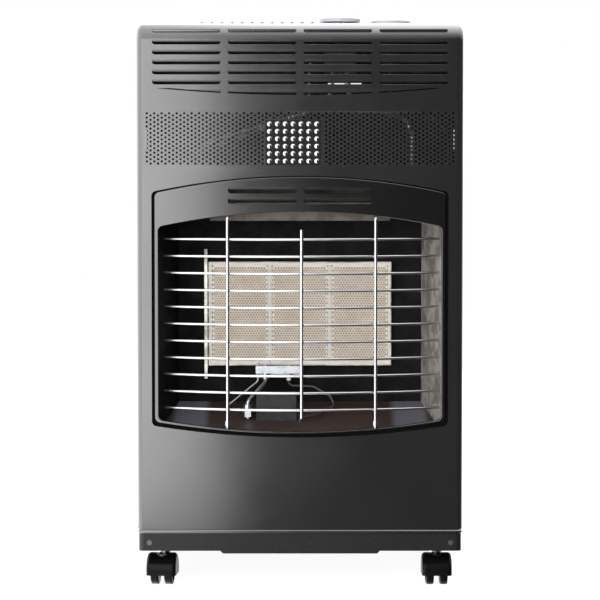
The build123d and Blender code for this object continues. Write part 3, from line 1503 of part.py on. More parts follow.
with BuildPart(mode=Mode.PRIVATE) as wheel_form:
    middle = (wheel_inner + wheel_outer) / 2
    with Locations(Location((middle, -trail, wheel_radius), (0, 90, 0))):
        Cylinder(wheel_radius, wheel_width)
    fillet(wheel_form.edges(), 2)
    with Locations(Location((wheel_outer - 1, -trail, wheel_radius), (0, 90, 0))):
        Cylinder(wheel_radius - 4, 2, mode=Mode.SUBTRACT)
        Cylinder(axle_radius + 3, 2)
    with Locations(Location((middle, -trail, wheel_radius), (0, 90, 0))):
        Cylinder(axle_radius + running_gap, 2 * wheel_width, mode=Mode.SUBTRACT)

caster_yaws = (-4.0, 0.0, 0.0, 0.0)
caster_names = ("front_left", "front_right", "rear_left", "rear_right")
for (x, depth), yaw, name in zip(stem_places, caster_yaws, caster_names):
    place = Location((x, back(depth), 0), (0, 0, yaw))
    with BuildPart() as caster_hood:
        add(place * hood_form.part)
    finish(caster_hood.part, "caster_hood_" + name)
    with BuildPart() as caster_axle:
        add(place * axle_form.part)
    finish(caster_axle.part, "caster_axle_" + name)
    with BuildPart() as wheel_right:
        add(place * wheel_form.part)
    finish(wheel_right.part, "wheel_" + name + "_right")
    with BuildPart() as wheel_left:
        add(place * mirror(wheel_form.part, about=Plane.YZ, mode=Mode.PRIVATE))
    finish(wheel_left.part, "wheel_" + name + "_left")
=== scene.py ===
import json
import math

import bmesh
import bpy
from mathutils import Matrix, Vector


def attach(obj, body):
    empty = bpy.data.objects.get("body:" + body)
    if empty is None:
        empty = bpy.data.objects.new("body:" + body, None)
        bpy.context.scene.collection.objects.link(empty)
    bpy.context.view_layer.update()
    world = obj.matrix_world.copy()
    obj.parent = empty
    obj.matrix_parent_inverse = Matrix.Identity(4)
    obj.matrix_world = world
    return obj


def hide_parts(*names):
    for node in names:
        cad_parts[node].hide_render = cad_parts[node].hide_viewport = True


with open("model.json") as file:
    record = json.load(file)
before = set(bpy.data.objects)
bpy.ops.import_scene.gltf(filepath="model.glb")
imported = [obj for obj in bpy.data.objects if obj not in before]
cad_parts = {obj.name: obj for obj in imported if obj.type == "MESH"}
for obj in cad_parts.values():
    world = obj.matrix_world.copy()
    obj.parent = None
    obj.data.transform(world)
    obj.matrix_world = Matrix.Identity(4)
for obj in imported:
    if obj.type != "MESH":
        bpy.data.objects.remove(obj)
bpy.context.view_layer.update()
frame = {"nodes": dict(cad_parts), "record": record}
nodes = frame["nodes"]
print("frame loaded,", len(nodes), "nodes")

# camera: level with the upper third of the cabinet, looking slightly down
cameraSetup = {
    "place": (0.0, -3.396, 0.5415),
    "tilt": 87.04,  # degrees from straight down
    "lens": 149.2,
    "sensor": 36.0,
}
camera = bpy.data.objects.new("camera", bpy.data.cameras.new("camera"))
camera.location = cameraSetup["place"]
camera.rotation_euler = (math.radians(cameraSetup["tilt"]), 0, 0)
camera.data.lens = cameraSetup["lens"]
camera.data.sensor_width = cameraSetup["sensor"]
camera.data.clip_start = 0.1
camera.data.clip_end = 60
bpy.context.scene.collection.objects.link(camera)
bpy.context.scene.camera = camera
bpy.context.scene.view_settings.view_transform = "Standard"


# node helpers
def addNode(tree, kind, values=None, **settings):
    node = tree.nodes.new(kind)
    for key, value in settings.items():
        setattr(node, key, value)
    for key, value in (values or {}).items():
        node.inputs[key].default_value = value
    return node


def join(tree, source, target):
    tree.links.new(source, target)


def newMaterial(name, values):
    material = bpy.data.materials.new(name)
    material.use_nodes = True
    tree = material.node_tree
    shader = tree.nodes["Principled BSDF"]
    for key, value in values.items():
        shader.inputs[key].default_value = (*value, 1) if isinstance(value, tuple) else value
    place = addNode(tree, "ShaderNodeTexCoord")
    return material, tree, shader, place.outputs["Object"]


def newGroup(name, inputs, outputs):
    group = bpy.data.node_groups.new(name, "ShaderNodeTree")
    for label, kind, value in inputs:
        socket = group.interface.new_socket(label, in_out="INPUT", socket_type=kind)
        if value is not None:
            socket.default_value = value
    for label, kind in outputs:
        group.interface.new_socket(label, in_out="OUTPUT", socket_type=kind)
    return group, group.nodes.new("NodeGroupInput"), group.nodes.new("NodeGroupOutput")


def placeGroup(tree, group, vector, values=None):
    node = addNode(tree, "ShaderNodeGroup")
    node.node_tree = group
    join(tree, vector, node.inputs["Vector"])
    for key, value in (values or {}).items():
        node.inputs[key].default_value = value
    return node


def bumpFrom(tree, height, strength, distance, shader):
    bump = addNode(tree, "ShaderNodeBump", {"Strength": strength, "Distance": distance})
    join(tree, height, bump.inputs["Height"])
    join(tree, bump.outputs["Normal"], shader.inputs["Normal"])


# shared effects
def makeOrangePeel():
    # fine paint texture and a slow wipe-mark variation
    group, given, result = newGroup(
        "orangePeel",
        [("Vector", "NodeSocketVector", None), ("Grain", "NodeSocketFloat", 900.0),
         ("Low", "NodeSocketFloat", 0.3), ("High", "NodeSocketFloat", 0.4)],
        [("Height", "NodeSocketFloat"), ("Roughness", "NodeSocketFloat")],
    )
    fine = addNode(group, "ShaderNodeTexNoise", {"Detail": 3.0, "Roughness": 0.55})
    slow = addNode(group, "ShaderNodeTexNoise", {"Scale": 9.0, "Detail": 5.0, "Roughness": 0.6})
    spread = addNode(group, "ShaderNodeMapRange", {"From Min": 0.3, "From Max": 0.7})
    join(group, given.outputs["Vector"], fine.inputs["Vector"])
    join(group, given.outputs["Vector"], slow.inputs["Vector"])
    join(group, given.outputs["Grain"], fine.inputs["Scale"])
    join(group, slow.outputs["Fac"], spread.inputs["Value"])
    join(group, given.outputs["Low"], spread.inputs["To Min"])
    join(group, given.outputs["High"], spread.inputs["To Max"])
    join(group, fine.outputs["Fac"], result.inputs["Height"])
    join(group, spread.outputs["Result"], result.inputs["Roughness"])
    return group


def makeRolledGrain():
    # lines drawn out along one axis, as rolling or brushing leaves them
    group, given, result = newGroup(
        "rolledGrain",
        [("Vector", "NodeSocketVector", None), ("Stretch", "NodeSocketVector", (1.0, 1.0, 1.0)),
         ("Low", "NodeSocketFloat", 0.25), ("High", "NodeSocketFloat", 0.45)],
        [("Height", "NodeSocketFloat"), ("Roughness", "NodeSocketFloat")],
    )
    scaled = addNode(group, "ShaderNodeVectorMath", operation="MULTIPLY")
    lines = addNode(group, "ShaderNodeTexNoise", {"Scale": 1.0, "Detail": 4.0, "Roughness": 0.6})
    spread = addNode(group, "ShaderNodeMapRange", {"From Min": 0.3, "From Max": 0.7})
    join(group, given.outputs["Vector"], scaled.inputs[0])
    join(group, given.outputs["Stretch"], scaled.inputs[1])
    join(group, scaled.outputs["Vector"], lines.inputs["Vector"])
    join(group, lines.outputs["Fac"], spread.inputs["Value"])
    join(group, given.outputs["Low"], spread.inputs["To Min"])
    join(group, given.outputs["High"], spread.inputs["To Max"])
    join(group, lines.outputs["Fac"], result.inputs["Height"])
    join(group, spread.outputs["Result"], result.inputs["Roughness"])
    return group


def makeStainMask():
    # soft-edged patches, for heat marks, dull spots and dust
    group, given, result = newGroup(
        "stainMask",
        [("Vector", "NodeSocketVector", None), ("Scale", "NodeSocketFloat", 20.0),
         ("Start", "NodeSocketFloat", 0.45), ("End", "NodeSocketFloat", 0.65)],
        [("Mask", "NodeSocketFloat")],
    )
    patches = addNode(group, "ShaderNodeTexNoise", {"Detail": 6.0, "Roughness": 0.62, "Distortion": 0.6})
    spread = addNode(group, "ShaderNodeMapRange", interpolation_type="SMOOTHSTEP")
    join(group, given.outputs["Vector"], patches.inputs["Vector"])
    join(group, given.outputs["Scale"], patches.inputs["Scale"])
    join(group, patches.outputs["Fac"], spread.inputs["Value"])
    join(group, given.outputs["Start"], spread.inputs["From Min"])
    join(group, given.outputs["End"], spread.inputs["From Max"])
    join(group, spread.outputs["Result"], result.inputs["Mask"])
    return group


orangePeel = makeOrangePeel()
rolledGrain = makeRolledGrain()
stainMask = makeStainMask()


def mixColours(tree, mask, first, second):
    mix = addNode(tree, "ShaderNodeMix", data_type="RGBA")
    # the colour sockets of the mix node come after its number and vector sockets
    colourA, colourB = mix.inputs[6], mix.inputs[7]
    colourA.default_value = (*first, 1)
    colourB.default_value = (*second, 1)
    join(tree, mask, mix.inputs["Factor"])
    return mix.outputs[2]


# how strongly the textures show in relief, and the mask that parts the paint's two colours
relief = {"paint": 0.35, "metal": 0.3}
flakeMask = {"Start": 0.42, "End": 0.6}


def paintedFinish(name, values, grain, roughness, depth, flakes=None):
    material, tree, shader, place = newMaterial(name, values)
    peel = placeGroup(tree, orangePeel, place, {"Grain": grain, "Low": roughness[0], "High": roughness[1]})
    join(tree, peel.outputs["Roughness"], shader.inputs["Roughness"])
    bumpFrom(tree, peel.outputs["Height"], relief["paint"], depth, shader)
    if flakes:
        mask = placeGroup(tree, stainMask, place, {"Scale": flakes["scale"], **flakeMask})
        colour = mixColours(tree, mask.outputs["Mask"], flakes["dark"], flakes["light"])
        join(tree, colour, shader.inputs["Base Color"])
    return material


def metalFinish(name, values, stretch, roughness, depth, stain=None):
    material, tree, shader, place = newMaterial(name, values)
    grain = placeGroup(tree, rolledGrain, place,
                       {"Stretch": stretch, "Low": roughness[0], "High": roughness[1]})
    join(tree, grain.outputs["Roughness"], shader.inputs["Roughness"])
    bumpFrom(tree, grain.outputs["Height"], relief["metal"], depth, shader)
    if stain:
        mask = placeGroup(tree, stainMask, place,
                          {"Scale": stain["scale"], "Start": stain["start"], "End": stain["end"]})
        colour = mixColours(tree, mask.outputs["Mask"], values["Base Color"], stain["colour"])
        join(tree, colour, shader.inputs["Base Color"])
    return material


finishes = {
    "casingPaint": paintedFinish(
        "casingPaint", {"Specular IOR Level": 1.0}, 1100.0, (0.11, 0.15), 0.00001,
        {"scale": 1700.0, "dark": (0.012, 0.012, 0.0125), "light": (0.02, 0.02, 0.021)}),
    "bandPaint": paintedFinish(
        "bandPaint", {"Specular IOR Level": 1.0}, 1100.0, (0.11, 0.15), 0.00001,
        {"scale": 1700.0, "dark": (0.014, 0.014, 0.0145), "light": (0.024, 0.024, 0.025)}),
    "surroundPaint": paintedFinish(
        "surroundPaint", {"Base Color": (0.003, 0.003, 0.0032), "Specular IOR Level": 1.0},
        700.0, (0.12, 0.15), 0.00001),
    "trayPaint": paintedFinish(
        "trayPaint", {"Specular IOR Level": 0.24}, 1100.0, (0.24, 0.3), 0.00001,
        {"scale": 900.0, "dark": (0.012, 0.012, 0.0123), "light": (0.02, 0.02, 0.0203)}),
    # matt near-black for the surround's faces behind the front: painted shade in the gap round the panel
    "gapShadeBlack": paintedFinish(
        "gapShadeBlack", {"Base Color": (0.003, 0.003, 0.003), "Specular IOR Level": 0.1},
        700.0, (0.7, 0.8), 0.00001),
    "hotSteel": paintedFinish(
        "hotSteel", {"Specular IOR Level": 0.3}, 500.0, (0.4, 0.6), 0.0002,
        {"scale": 26.0, "dark": (0.008, 0.007, 0.006), "light": (0.02, 0.019, 0.021)}),
    # near-black steel: painted shade on the left reflector wing, which is turned away from the left lamp, and
    # the dark colour of the recess back
    "darkSteelAndShade": paintedFinish(
        "darkSteelAndShade", {"Specular IOR Level": 0.1}, 500.0, (0.6, 0.75), 0.0002,
        {"scale": 30.0, "dark": (0.003, 0.003, 0.003), "light": (0.008, 0.0075, 0.0075)}),
    "deflectorSteel": paintedFinish(
        "deflectorSteel", {"Metallic": 0.2}, 500.0, (0.45, 0.6), 0.0002,
        {"scale": 30.0, "dark": (0.09, 0.075, 0.062), "light": (0.15, 0.13, 0.11)}),
    "coverSteel": paintedFinish(
        "coverSteel", {"Metallic": 0.1, "Specular IOR Level": 0.3}, 800.0, (0.45, 0.6), 0.0001,
        {"scale": 60.0, "dark": (0.02, 0.02, 0.02), "light": (0.034, 0.034, 0.035)}),
    "guardChrome": metalFinish(
        "guardChrome", {"Base Color": (0.4, 0.4, 0.405), "Metallic": 1.0},
        (900.0, 900.0, 900.0), (0.27, 0.35), 0.00004),
    "insertMetal": metalFinish(
        "insertMetal", {"Base Color": (0.4, 0.4, 0.41), "Metallic": 1.0},
        (1500.0, 1500.0, 1500.0), (0.16, 0.26), 0.00003),
    "insertDark": paintedFinish(
        "insertDark", {"Base Color": (0.006, 0.006, 0.006), "Specular IOR Level": 0.15},
        1100.0, (0.4, 0.5), 0.00001),
    "fastenerSteel": metalFinish(
        "fastenerSteel", {"Base Color": (0.1, 0.1, 0.105), "Metallic": 1.0},
        (700.0, 700.0, 700.0), (0.3, 0.42), 0.0001),
    "reflectorSteel": metalFinish(
        "reflectorSteel", {"Base Color": (0.6, 0.57, 0.53), "Metallic": 1.0},
        (60.0, 60.0, 900.0), (0.3, 0.45), 0.0001,
        {"scale": 34.0, "start": 0.4, "end": 0.62, "colour": (0.2, 0.185, 0.17)}),
    # pale, nearly diffuse steel: painted light on the right reflector wing, which faces the left lamp; its
    # mottling is its own
    "paintedLitSteel": metalFinish(
        "paintedLitSteel", {"Base Color": (0.62, 0.59, 0.55), "Metallic": 0.15},
        (60.0, 60.0, 900.0), (0.42, 0.58), 0.0001,
        {"scale": 34.0, "start": 0.42, "end": 0.6, "colour": (0.27, 0.255, 0.235)}),
    "zincSteel": metalFinish(
        "zincSteel", {"Base Color": (0.55, 0.57, 0.6), "Metallic": 1.0},
        (500.0, 500.0, 500.0), (0.28, 0.42), 0.0001,
        {"scale": 120.0, "start": 0.45, "end": 0.6, "colour": (0.42, 0.44, 0.48)}),
    "valveAlloy": metalFinish(
        "valveAlloy", {"Base Color": (0.13, 0.13, 0.135), "Metallic": 0.6},
        (700.0, 700.0, 700.0), (0.5, 0.62), 0.0002),
    "pipeAlloy": metalFinish(
        "pipeAlloy", {"Base Color": (0.55, 0.55, 0.56), "Metallic": 1.0},
        (300.0, 300.0, 300.0), (0.4, 0.5), 0.0001),
    "brass": metalFinish(
        "brass", {"Base Color": (0.7, 0.5, 0.22), "Metallic": 1.0},
        (400.0, 400.0, 400.0), (0.2, 0.35), 0.0001,
        {"scale": 200.0, "start": 0.45, "end": 0.65, "colour": (0.5, 0.34, 0.16)}),
    "probeCopper": metalFinish(
        "probeCopper", {"Base Color": (0.6, 0.3, 0.17), "Metallic": 1.0},
        (300.0, 300.0, 300.0), (0.28, 0.42), 0.0001),
    "controlPlastic": paintedFinish(
        "controlPlastic", {"Base Color": (0.66, 0.65, 0.71)}, 900.0, (0.26, 0.36), 0.00008),
    "igniterPlastic": paintedFinish(
        "igniterPlastic", {"Base Color": (0.03, 0.03, 0.03)}, 900.0, (0.45, 0.55), 0.0001),
    "casterPlastic": paintedFinish(
        "casterPlastic", {"Base Color": (0.005, 0.005, 0.0055), "Specular IOR Level": 0.06},
        700.0, (0.24, 0.32), 0.00006),
    "leadSilicone": paintedFinish(
        "leadSilicone", {"Base Color": (0.03, 0.03, 0.03)}, 900.0, (0.4, 0.5), 0.0001),
    "electrodeCeramic": paintedFinish(
        "electrodeCeramic", {"Base Color": (0.75, 0.73, 0.68), "Coat Weight": 0.5, "Coat Roughness": 0.1},
        900.0, (0.25, 0.35), 0.0001),
    "tileField": paintedFinish(
        "tileField", {"Specular IOR Level": 0.2}, 1500.0, (0.88, 0.96), 0.0001,
        {"scale": 46.0, "dark": (0.9, 0.81, 0.7), "light": (0.96, 0.89, 0.8)}),
    # darker brown for the walls and floors of the holes: painted shade in them
    "tileHoleShade": paintedFinish(
        "tileHoleShade", {"Specular IOR Level": 0.1}, 1500.0, (0.9, 0.97), 0.0001,
        {"scale": 60.0, "dark": (0.42, 0.33, 0.26), "light": (0.52, 0.43, 0.35)}),
    "tileRim": paintedFinish(
        "tileRim", {"Specular IOR Level": 0.2}, 1500.0, (0.85, 0.95), 0.0001,
        {"scale": 160.0, "dark": (0.93, 0.9, 0.84), "light": (0.97, 0.95, 0.9)}),
    "gasketFibre": paintedFinish(
        "gasketFibre", {"Base Color": (0.72, 0.68, 0.62)}, 1500.0, (0.85, 0.95), 0.0004),
}


def floorPaintedSheen():
    # brown in the middle, and lavender grey at both sides as a painted reflection
    mark = {"start": 0.118, "end": 0.127, "stop": 0.162, "fade": 0.17,
            "brown": (0.045, 0.03, 0.025), "grey": (0.17, 0.165, 0.2),
            "peel": {"Grain": 500.0, "Low": 0.45, "High": 0.6}, "depth": 0.0002}
    material, tree, shader, place = newMaterial("floorPaintedSheen", {"Specular IOR Level": 0.25})
    axes = addNode(tree, "ShaderNodeSeparateXYZ")
    size = addNode(tree, "ShaderNodeMath", operation="ABSOLUTE")
    inner = addNode(tree, "ShaderNodeMapRange", {"From Min": mark["start"], "From Max": mark["end"]})
    outer = addNode(tree, "ShaderNodeMapRange", {"From Min": mark["fade"], "From Max": mark["stop"]})
    mask = addNode(tree, "ShaderNodeMath", operation="MULTIPLY")
    join(tree, place, axes.inputs["Vector"])
    join(tree, axes.outputs["X"], size.inputs[0])
    join(tree, size.outputs["Value"], inner.inputs["Value"])
    join(tree, size.outputs["Value"], outer.inputs["Value"])
    join(tree, inner.outputs["Result"], mask.inputs[0])
    join(tree, outer.outputs["Result"], mask.inputs[1])
    # the mask picks the two side bands, where the painted reflection goes
    colour = mixColours(tree, mask.outputs["Value"], mark["brown"], mark["grey"])
    join(tree, colour, shader.inputs["Base Color"])
    peel = placeGroup(tree, orangePeel, place, mark["peel"])
    join(tree, peel.outputs["Roughness"], shader.inputs["Roughness"])
    bumpFrom(tree, peel.outputs["Height"], relief["paint"], mark["depth"], shader)
    return material


finishes["floorPaintedSheen"] = floorPaintedSheen()
print("finishes ready,", len(finishes))

finishOfSlot = {
    "casing_paint": "casingPaint", "band_paint": "bandPaint", "insert_metal": "insertMetal",
    "surround_paint": "surroundPaint", "guard_chrome": "guardChrome", "reflector_steel": "reflectorSteel",
    "hot_steel": "hotSteel", "cover_steel": "coverSteel", "tray_paint": "trayPaint",
    "zinc_steel": "zincSteel", "fastener_steel": "fastenerSteel", "tile_ceramic": "tileRim",
    "gasket_fibre": "gasketFibre", "valve_alloy": "valveAlloy", "pipe_alloy": "pipeAlloy", "brass": "brass",
    "probe_copper": "probeCopper", "electrode_ceramic": "electrodeCeramic",
    "lead_silicone": "leadSilicone", "control_plastic": "controlPlastic",
    "igniter_plastic": "igniterPlastic", "caster_plastic": "casterPlastic",
}
# pieces whose surface isn't that of their slot, some of them through heat; the left reflector wing carries
# painted shade, the right one painted light, and the recess floor's grey bands a painted reflection
finishOfNode = {
    "reflector_left": "darkSteelAndShade", "recess_back": "darkSteelAndShade", "heat_deflector": "deflectorSteel",
    "reflector_right": "paintedLitSteel", "recess_floor": "floorPaintedSheen", "thermocouple": "pipeAlloy",
    "valve_spindle": "zincSteel",
}
slotOfNode = {part["node"]: part["material_slot"] for part in frame["record"]["subparts"]}
bodyOfNode = {
    node: body for body, members in frame["record"]["behaviour"]["bodies"].items() for node in members
}
for name, obj in nodes.items():
    finish = finishes[finishOfNode.get(name, finishOfSlot[slotOfNode[name]])]
    for place in obj.material_slots:
        place.material = finish


def addPiece(name, shape, materials, body, replaced=()):
    mesh = bpy.data.meshes.new(name)
    shape.to_mesh(mesh)
    shape.free()
    for material in materials:
        mesh.materials.append(finishes[material])
    piece = bpy.data.objects.new(name, mesh)
    bpy.context.scene.collection.objects.link(piece)
    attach(piece, body)
    if replaced:
        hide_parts(*replaced)
    return piece


# pressed and moulded pieces: the CAD surface merged, with its round edges shaded smooth
smoothPieces = {
    "crease": 32.0,
    # behind the front plane the surround takes painted shade, matt black, for its gap
    "front": -0.19,  # behind this the surround is matt black, and before it lies the tray's glossy ledge
    "ledge": 0.0731,
    "stripFront": -0.196, "stripTop": 0.7042, "stripPitch": 0.012775, "stripCount": 5,
    "stripRound": 0.0006, "near": 2e-5, "sharp": 1.0,
    "merge": 2e-6, "thin": 1e-7,
    "nodes": ["front_panel", "window_surround", "guard_grille", "top_panel", "side_panel_left",
              "side_panel_right", "rear_cover", "base_tray", "control_knob", "knob_bezel", "igniter_bezel",
              "igniter_button", "caster_stems"]
    + [name for name in sorted(nodes) if name.startswith(("caster_hood", "caster_axle", "wheel"))],
}


def roundStrips(shape):
    # upper edges of the strips between the louvres, which catch the ceiling's light
    form = smoothPieces
    levels = [form["stripTop"] - row * form["stripPitch"] for row in range(form["stripCount"])]
    near = form["near"]
    edges = []
    for edge in shape.edges:
        first, second = (v.co for v in edge.verts)
        if abs(first.y - form["stripFront"]) > near or abs(second.y - form["stripFront"]) > near:
            continue
        if any(abs(first.z - z) < near and abs(second.z - z) < near for z in levels):
            if len(edge.link_faces) == 2 and edge.calc_face_angle(0) > form["sharp"]:
                edges.append(edge)
    bmesh.ops.bevel(shape, geom=edges, offset=form["stripRound"], segments=3, profile=0.5, affect="EDGES")
    print("strip edges rounded,", len(edges))


def smoothCopy(node):
    shape = bmesh.new()
    shape.from_mesh(nodes[node].data)
    bmesh.ops.remove_doubles(shape, verts=shape.verts, dist=smoothPieces["merge"])
    bmesh.ops.dissolve_degenerate(shape, edges=shape.edges, dist=smoothPieces["thin"])
    if node == "front_panel":
        roundStrips(shape)
    limit = math.radians(smoothPieces["crease"])
    for edge in shape.edges:
        edge.smooth = len(edge.link_faces) == 2 and edge.calc_face_angle(math.pi) < limit
    slot = slotOfNode[node]
    second = {"window_surround": "gapShadeBlack", "base_tray": "casingPaint"}.get(node)
    materials = [finishOfSlot[slot], second] if second else [finishOfSlot[slot]]
    for face in shape.faces:
        face.smooth = True
        middle = face.calc_center_median()
        gap = node == "window_surround" and middle.y > smoothPieces["front"]
        ledge = node == "base_tray" and middle.y < smoothPieces["front"] and middle.z > smoothPieces["ledge"]
        face.material_index = 1 if gap or ledge else 0
    piece = addPiece(node + "_skin", shape, materials, bodyOfNode[node], (node,))
    weighted = piece.modifiers.new("evenShading", "WEIGHTED_NORMAL")
    weighted.keep_sharp = True


for name in smoothPieces["nodes"]:
    smoothCopy(name)
print("casing, guard and casters dressed")

# burner tiles: a rim round a sunk field of fine holes, one slab per tile
tileForm = {
    "centres": [-0.08, 0.0, 0.08],
    "half": 0.03985,
    "low": 0.2842, "high": 0.4186,
    "front": -0.076, "back": -0.063,
    "rim": 0.003, "sink": 0.0005, "round": 0.0004,
    "pitch": 0.0036, "wall": 0.00075, "deep": 0.0019,
    "bare": 0.4,  # of a pitch, left without holes along the rim
    "corner": 0.5, "merge": 0.00001,
    "finishes": ["tileField", "tileRim", "tileHoleShade"],
}


def tileSlab():
    form = tileForm
    rim, half, front, back, low, high = (form[key] for key in ("rim", "half", "front", "back", "low", "high"))
    shape = bmesh.new()
    middle = Matrix.Translation((0, (front + back) / 2, (low + high) / 2))
    size = Matrix.Diagonal((2 * half, back - front, high - low, 1))
    bmesh.ops.create_cube(shape, size=1, matrix=middle @ size)
    face = min(shape.faces, key=lambda f: f.calc_center_median().y)
    bmesh.ops.inset_individual(shape, faces=[face], thickness=rim, depth=0.0)
    bmesh.ops.translate(shape, verts=face.verts, vec=(0, 3 * form["sink"], 0))
    for side in face.edges:
        side.tag = True
    bmesh.ops.delete(shape, geom=[face], context="FACES_ONLY")
    corners = [e for e in shape.edges
               if not e.tag and len(e.link_faces) == 2 and e.calc_face_angle() > form["corner"]]
    bmesh.ops.bevel(shape, geom=corners, offset=form["round"], segments=2, profile=0.6, affect="EDGES")
    for face in shape.faces:
        face.material_index = 1

    # sunk field: hexagons edge to edge, each with its hole
    pitch, level = form["pitch"], front + form["sink"]
    rowStep = pitch * math.sqrt(3) / 2
    pairs = int((high - low - rim) / rowStep / 2)
    columns = int((2 * half - rim) / pitch)
    startX, startZ = -(columns - 1) * pitch / 2, (low + high) / 2 - (pairs - 0.5) * rowStep
    upright = Matrix.Rotation(math.radians(90), 4, "X") @ Matrix.Rotation(math.radians(30), 4, "Z")
    for shift in (0, 1):
        place = Matrix.Translation((startX + shift * pitch / 2, level, startZ + shift * rowStep))
        made = bmesh.ops.create_circle(
            shape, cap_ends=True, segments=6, radius=pitch / math.sqrt(3), matrix=place @ upright)
        cell = made["verts"][0].link_faces[0]
        row = [cell, *cell.edges, *cell.verts]
        for steps, move in ((columns - 1 - shift, (pitch, 0, 0)), (pairs - 1, (0, 0, 2 * rowStep))):
            before = set(shape.faces)
            bmesh.ops.spin(shape, geom=row, cent=(0, 0, 0), axis=(0, 0, 1), dvec=move, angle=0, steps=steps,
                           use_duplicate=True)
            added = [f for f in shape.faces if f not in before]
            row += added + [e for f in added for e in f.edges] + [v for f in added for v in f.verts]
    bmesh.ops.remove_doubles(shape, verts=shape.verts, dist=form["merge"])
    margin = rim + pitch * form["bare"]
    cells = []
    for cell in shape.faces:
        middle = cell.calc_center_median()
        inside = abs(middle.x) < half - margin and low + margin < middle.z < high - margin
        if len(cell.verts) == 6 and inside:
            cells.append(cell)
    bmesh.ops.inset_individual(shape, faces=cells, thickness=form["wall"], depth=0.0)
    # the holes' walls and floors take the third, darker finish: painted shade
    for cell in bmesh.ops.extrude_discrete_faces(shape, faces=cells)["faces"]:
        bmesh.ops.translate(shape, verts=cell.verts, vec=(0, form["deep"], 0))
        cell.material_index = 2
    bmesh.ops.recalc_face_normals(shape, faces=shape.faces)
    return shape


tile = tileSlab()
for number, centre in enumerate(tileForm["centres"]):
    shape = tile.copy()
    bmesh.ops.translate(shape, verts=shape.verts, vec=(centre, 0, 0))
    addPiece(f"burnerTile{number}", shape, tileForm["finishes"], "cabinet",
             ("ceramic_tiles",) if number == 1 else ())
tile.free()
print("tiles laid")

# studded insert of the perforated band
insertForm = {
    "left": -0.0442, "right": 0.0265, "low": 0.55, "high": 0.607,
    "front": -0.1972, "back": -0.196, "round": 0.001,
    "columns": 7, "rows": 6, "radius": 0.0035, "height": 0.0021,
    "edge": 0.0005, "behind": 0.0002, "domeFace": 2e-6,
}


def insertPlate():
    form = insertForm
    shape = bmesh.new()
    width, height = form["right"] - form["left"], form["high"] - form["low"]
    middle = Vector(((form["left"] + form["right"]) / 2, (form["front"] + form["back"]) / 2,
                     (form["low"] + form["high"]) / 2))
    size = Matrix.Diagonal((width, form["back"] - form["front"], height, 1))
    bmesh.ops.create_cube(shape, size=1, matrix=Matrix.Translation(middle) @ size)
    upright = [e for e in shape.edges if abs(e.verts[0].co.y - e.verts[1].co.y) > form["edge"]]
    bmesh.ops.bevel(shape, geom=upright, offset=form["round"], segments=3, profile=0.5, affect="EDGES")
    stepX, stepZ = width / form["columns"], height / form["rows"]
    for column in range(form["columns"]):
        for row in range(form["rows"]):
            x = form["left"] + (column + 0.5) * stepX
            z = form["low"] + (row + 0.5) * stepZ
            squash = Matrix.Diagonal((1, form["height"] / form["radius"], 1, 1))
            upward = Matrix.Rotation(math.radians(90), 4, "X")
            place = Matrix.Translation((x, form["front"], z)) @ squash @ upward
            dome = bmesh.ops.create_uvsphere(
                shape, u_segments=20, v_segments=12, radius=form["radius"], matrix=place)
            behind = [v for v in dome["verts"] if v.co.y > form["front"] + form["behind"]]
            bmesh.ops.delete(shape, geom=behind, context="VERTS")
    for face in shape.faces:
        face.smooth = len(face.verts) < 5 and face.calc_area() < form["domeFace"]
        face.material_index = 0 if face.smooth else 1
    return shape


addPiece("insertSkin", insertPlate(), ["insertMetal", "insertDark"], "cabinet",
         ("vent_insert",))

# weld beads where the wires cross the upright rods
weldForm = {
    "low": 0.2354, "pitch": 0.0219, "count": 11,
    "rods": [(-0.093, -0.2083), (0.002, -0.22), (0.097, -0.2083)],
    "radius": 0.0016, "offset": 0.0013, "flat": (1, 0.8, 0.9, 1),
}


def weldBeads():
    shape = bmesh.new()
    for x, depth in weldForm["rods"]:
        for bar in range(weldForm["count"]):
            z = weldForm["low"] + bar * weldForm["pitch"]
            for side in (-1, 1):
                place = Matrix.Translation((x + side * weldForm["offset"], depth, z))
                place = place @ Matrix.Diagonal(weldForm["flat"])
                bmesh.ops.create_icosphere(shape, subdivisions=2, radius=weldForm["radius"], matrix=place)
    for face in shape.faces:
        face.smooth = True
    return shape


addPiece("guardWelds", weldBeads(), ["guardChrome"], "cabinet")

# stage and light
stageSetup = {"radius": 6.0, "white": 0.62, "glow": 0.9}


def makeStage():
    material, tree, shader, place = newMaterial("paleFloor", {"Roughness": 0.9, "Specular IOR Level": 0.0})
    shader.inputs["Base Color"].default_value = (*[stageSetup["white"]] * 3, 1)
    rays = addNode(tree, "ShaderNodeLightPath")
    shader.inputs["Emission Color"].default_value = (1, 1, 1, 1)
    seen = addNode(tree, "ShaderNodeMath", {1: stageSetup["glow"]}, operation="MULTIPLY")
    join(tree, rays.outputs["Is Camera Ray"], seen.inputs[0])
    join(tree, seen.outputs["Value"], shader.inputs["Emission Strength"])
    shape = bmesh.new()
    bmesh.ops.create_circle(shape, cap_ends=True, segments=96, radius=stageSetup["radius"])
    mesh = bpy.data.meshes.new("paleFloor")
    shape.to_mesh(mesh)
    shape.free()
    mesh.materials.append(material)
    floor = bpy.data.objects.new("paleFloor", mesh)
    floor.visible_glossy = False
    floor.visible_shadow = False
    bpy.context.scene.collection.objects.link(floor)


makeStage()

# what polished surfaces see: a pale left side and back, a bright ceiling,
# and a dark room in front and to the right
skySetup = {
    "ambient": 0.2, "dark": 0.04, "left": 4.0, "back": 1.0, "ceiling": 6.0,
    "beside": 3.7,  # above and below the left softbox
    "edge": (-0.016, -0.054), "middle": 0.08, "band": (0.29, 0.35),
    "pole": (0.0, 0.342, 0.94), "fall": 1.5,
    "leftEdge": (-0.4, -0.65), "backEdge": (0.2, 0.6),
}


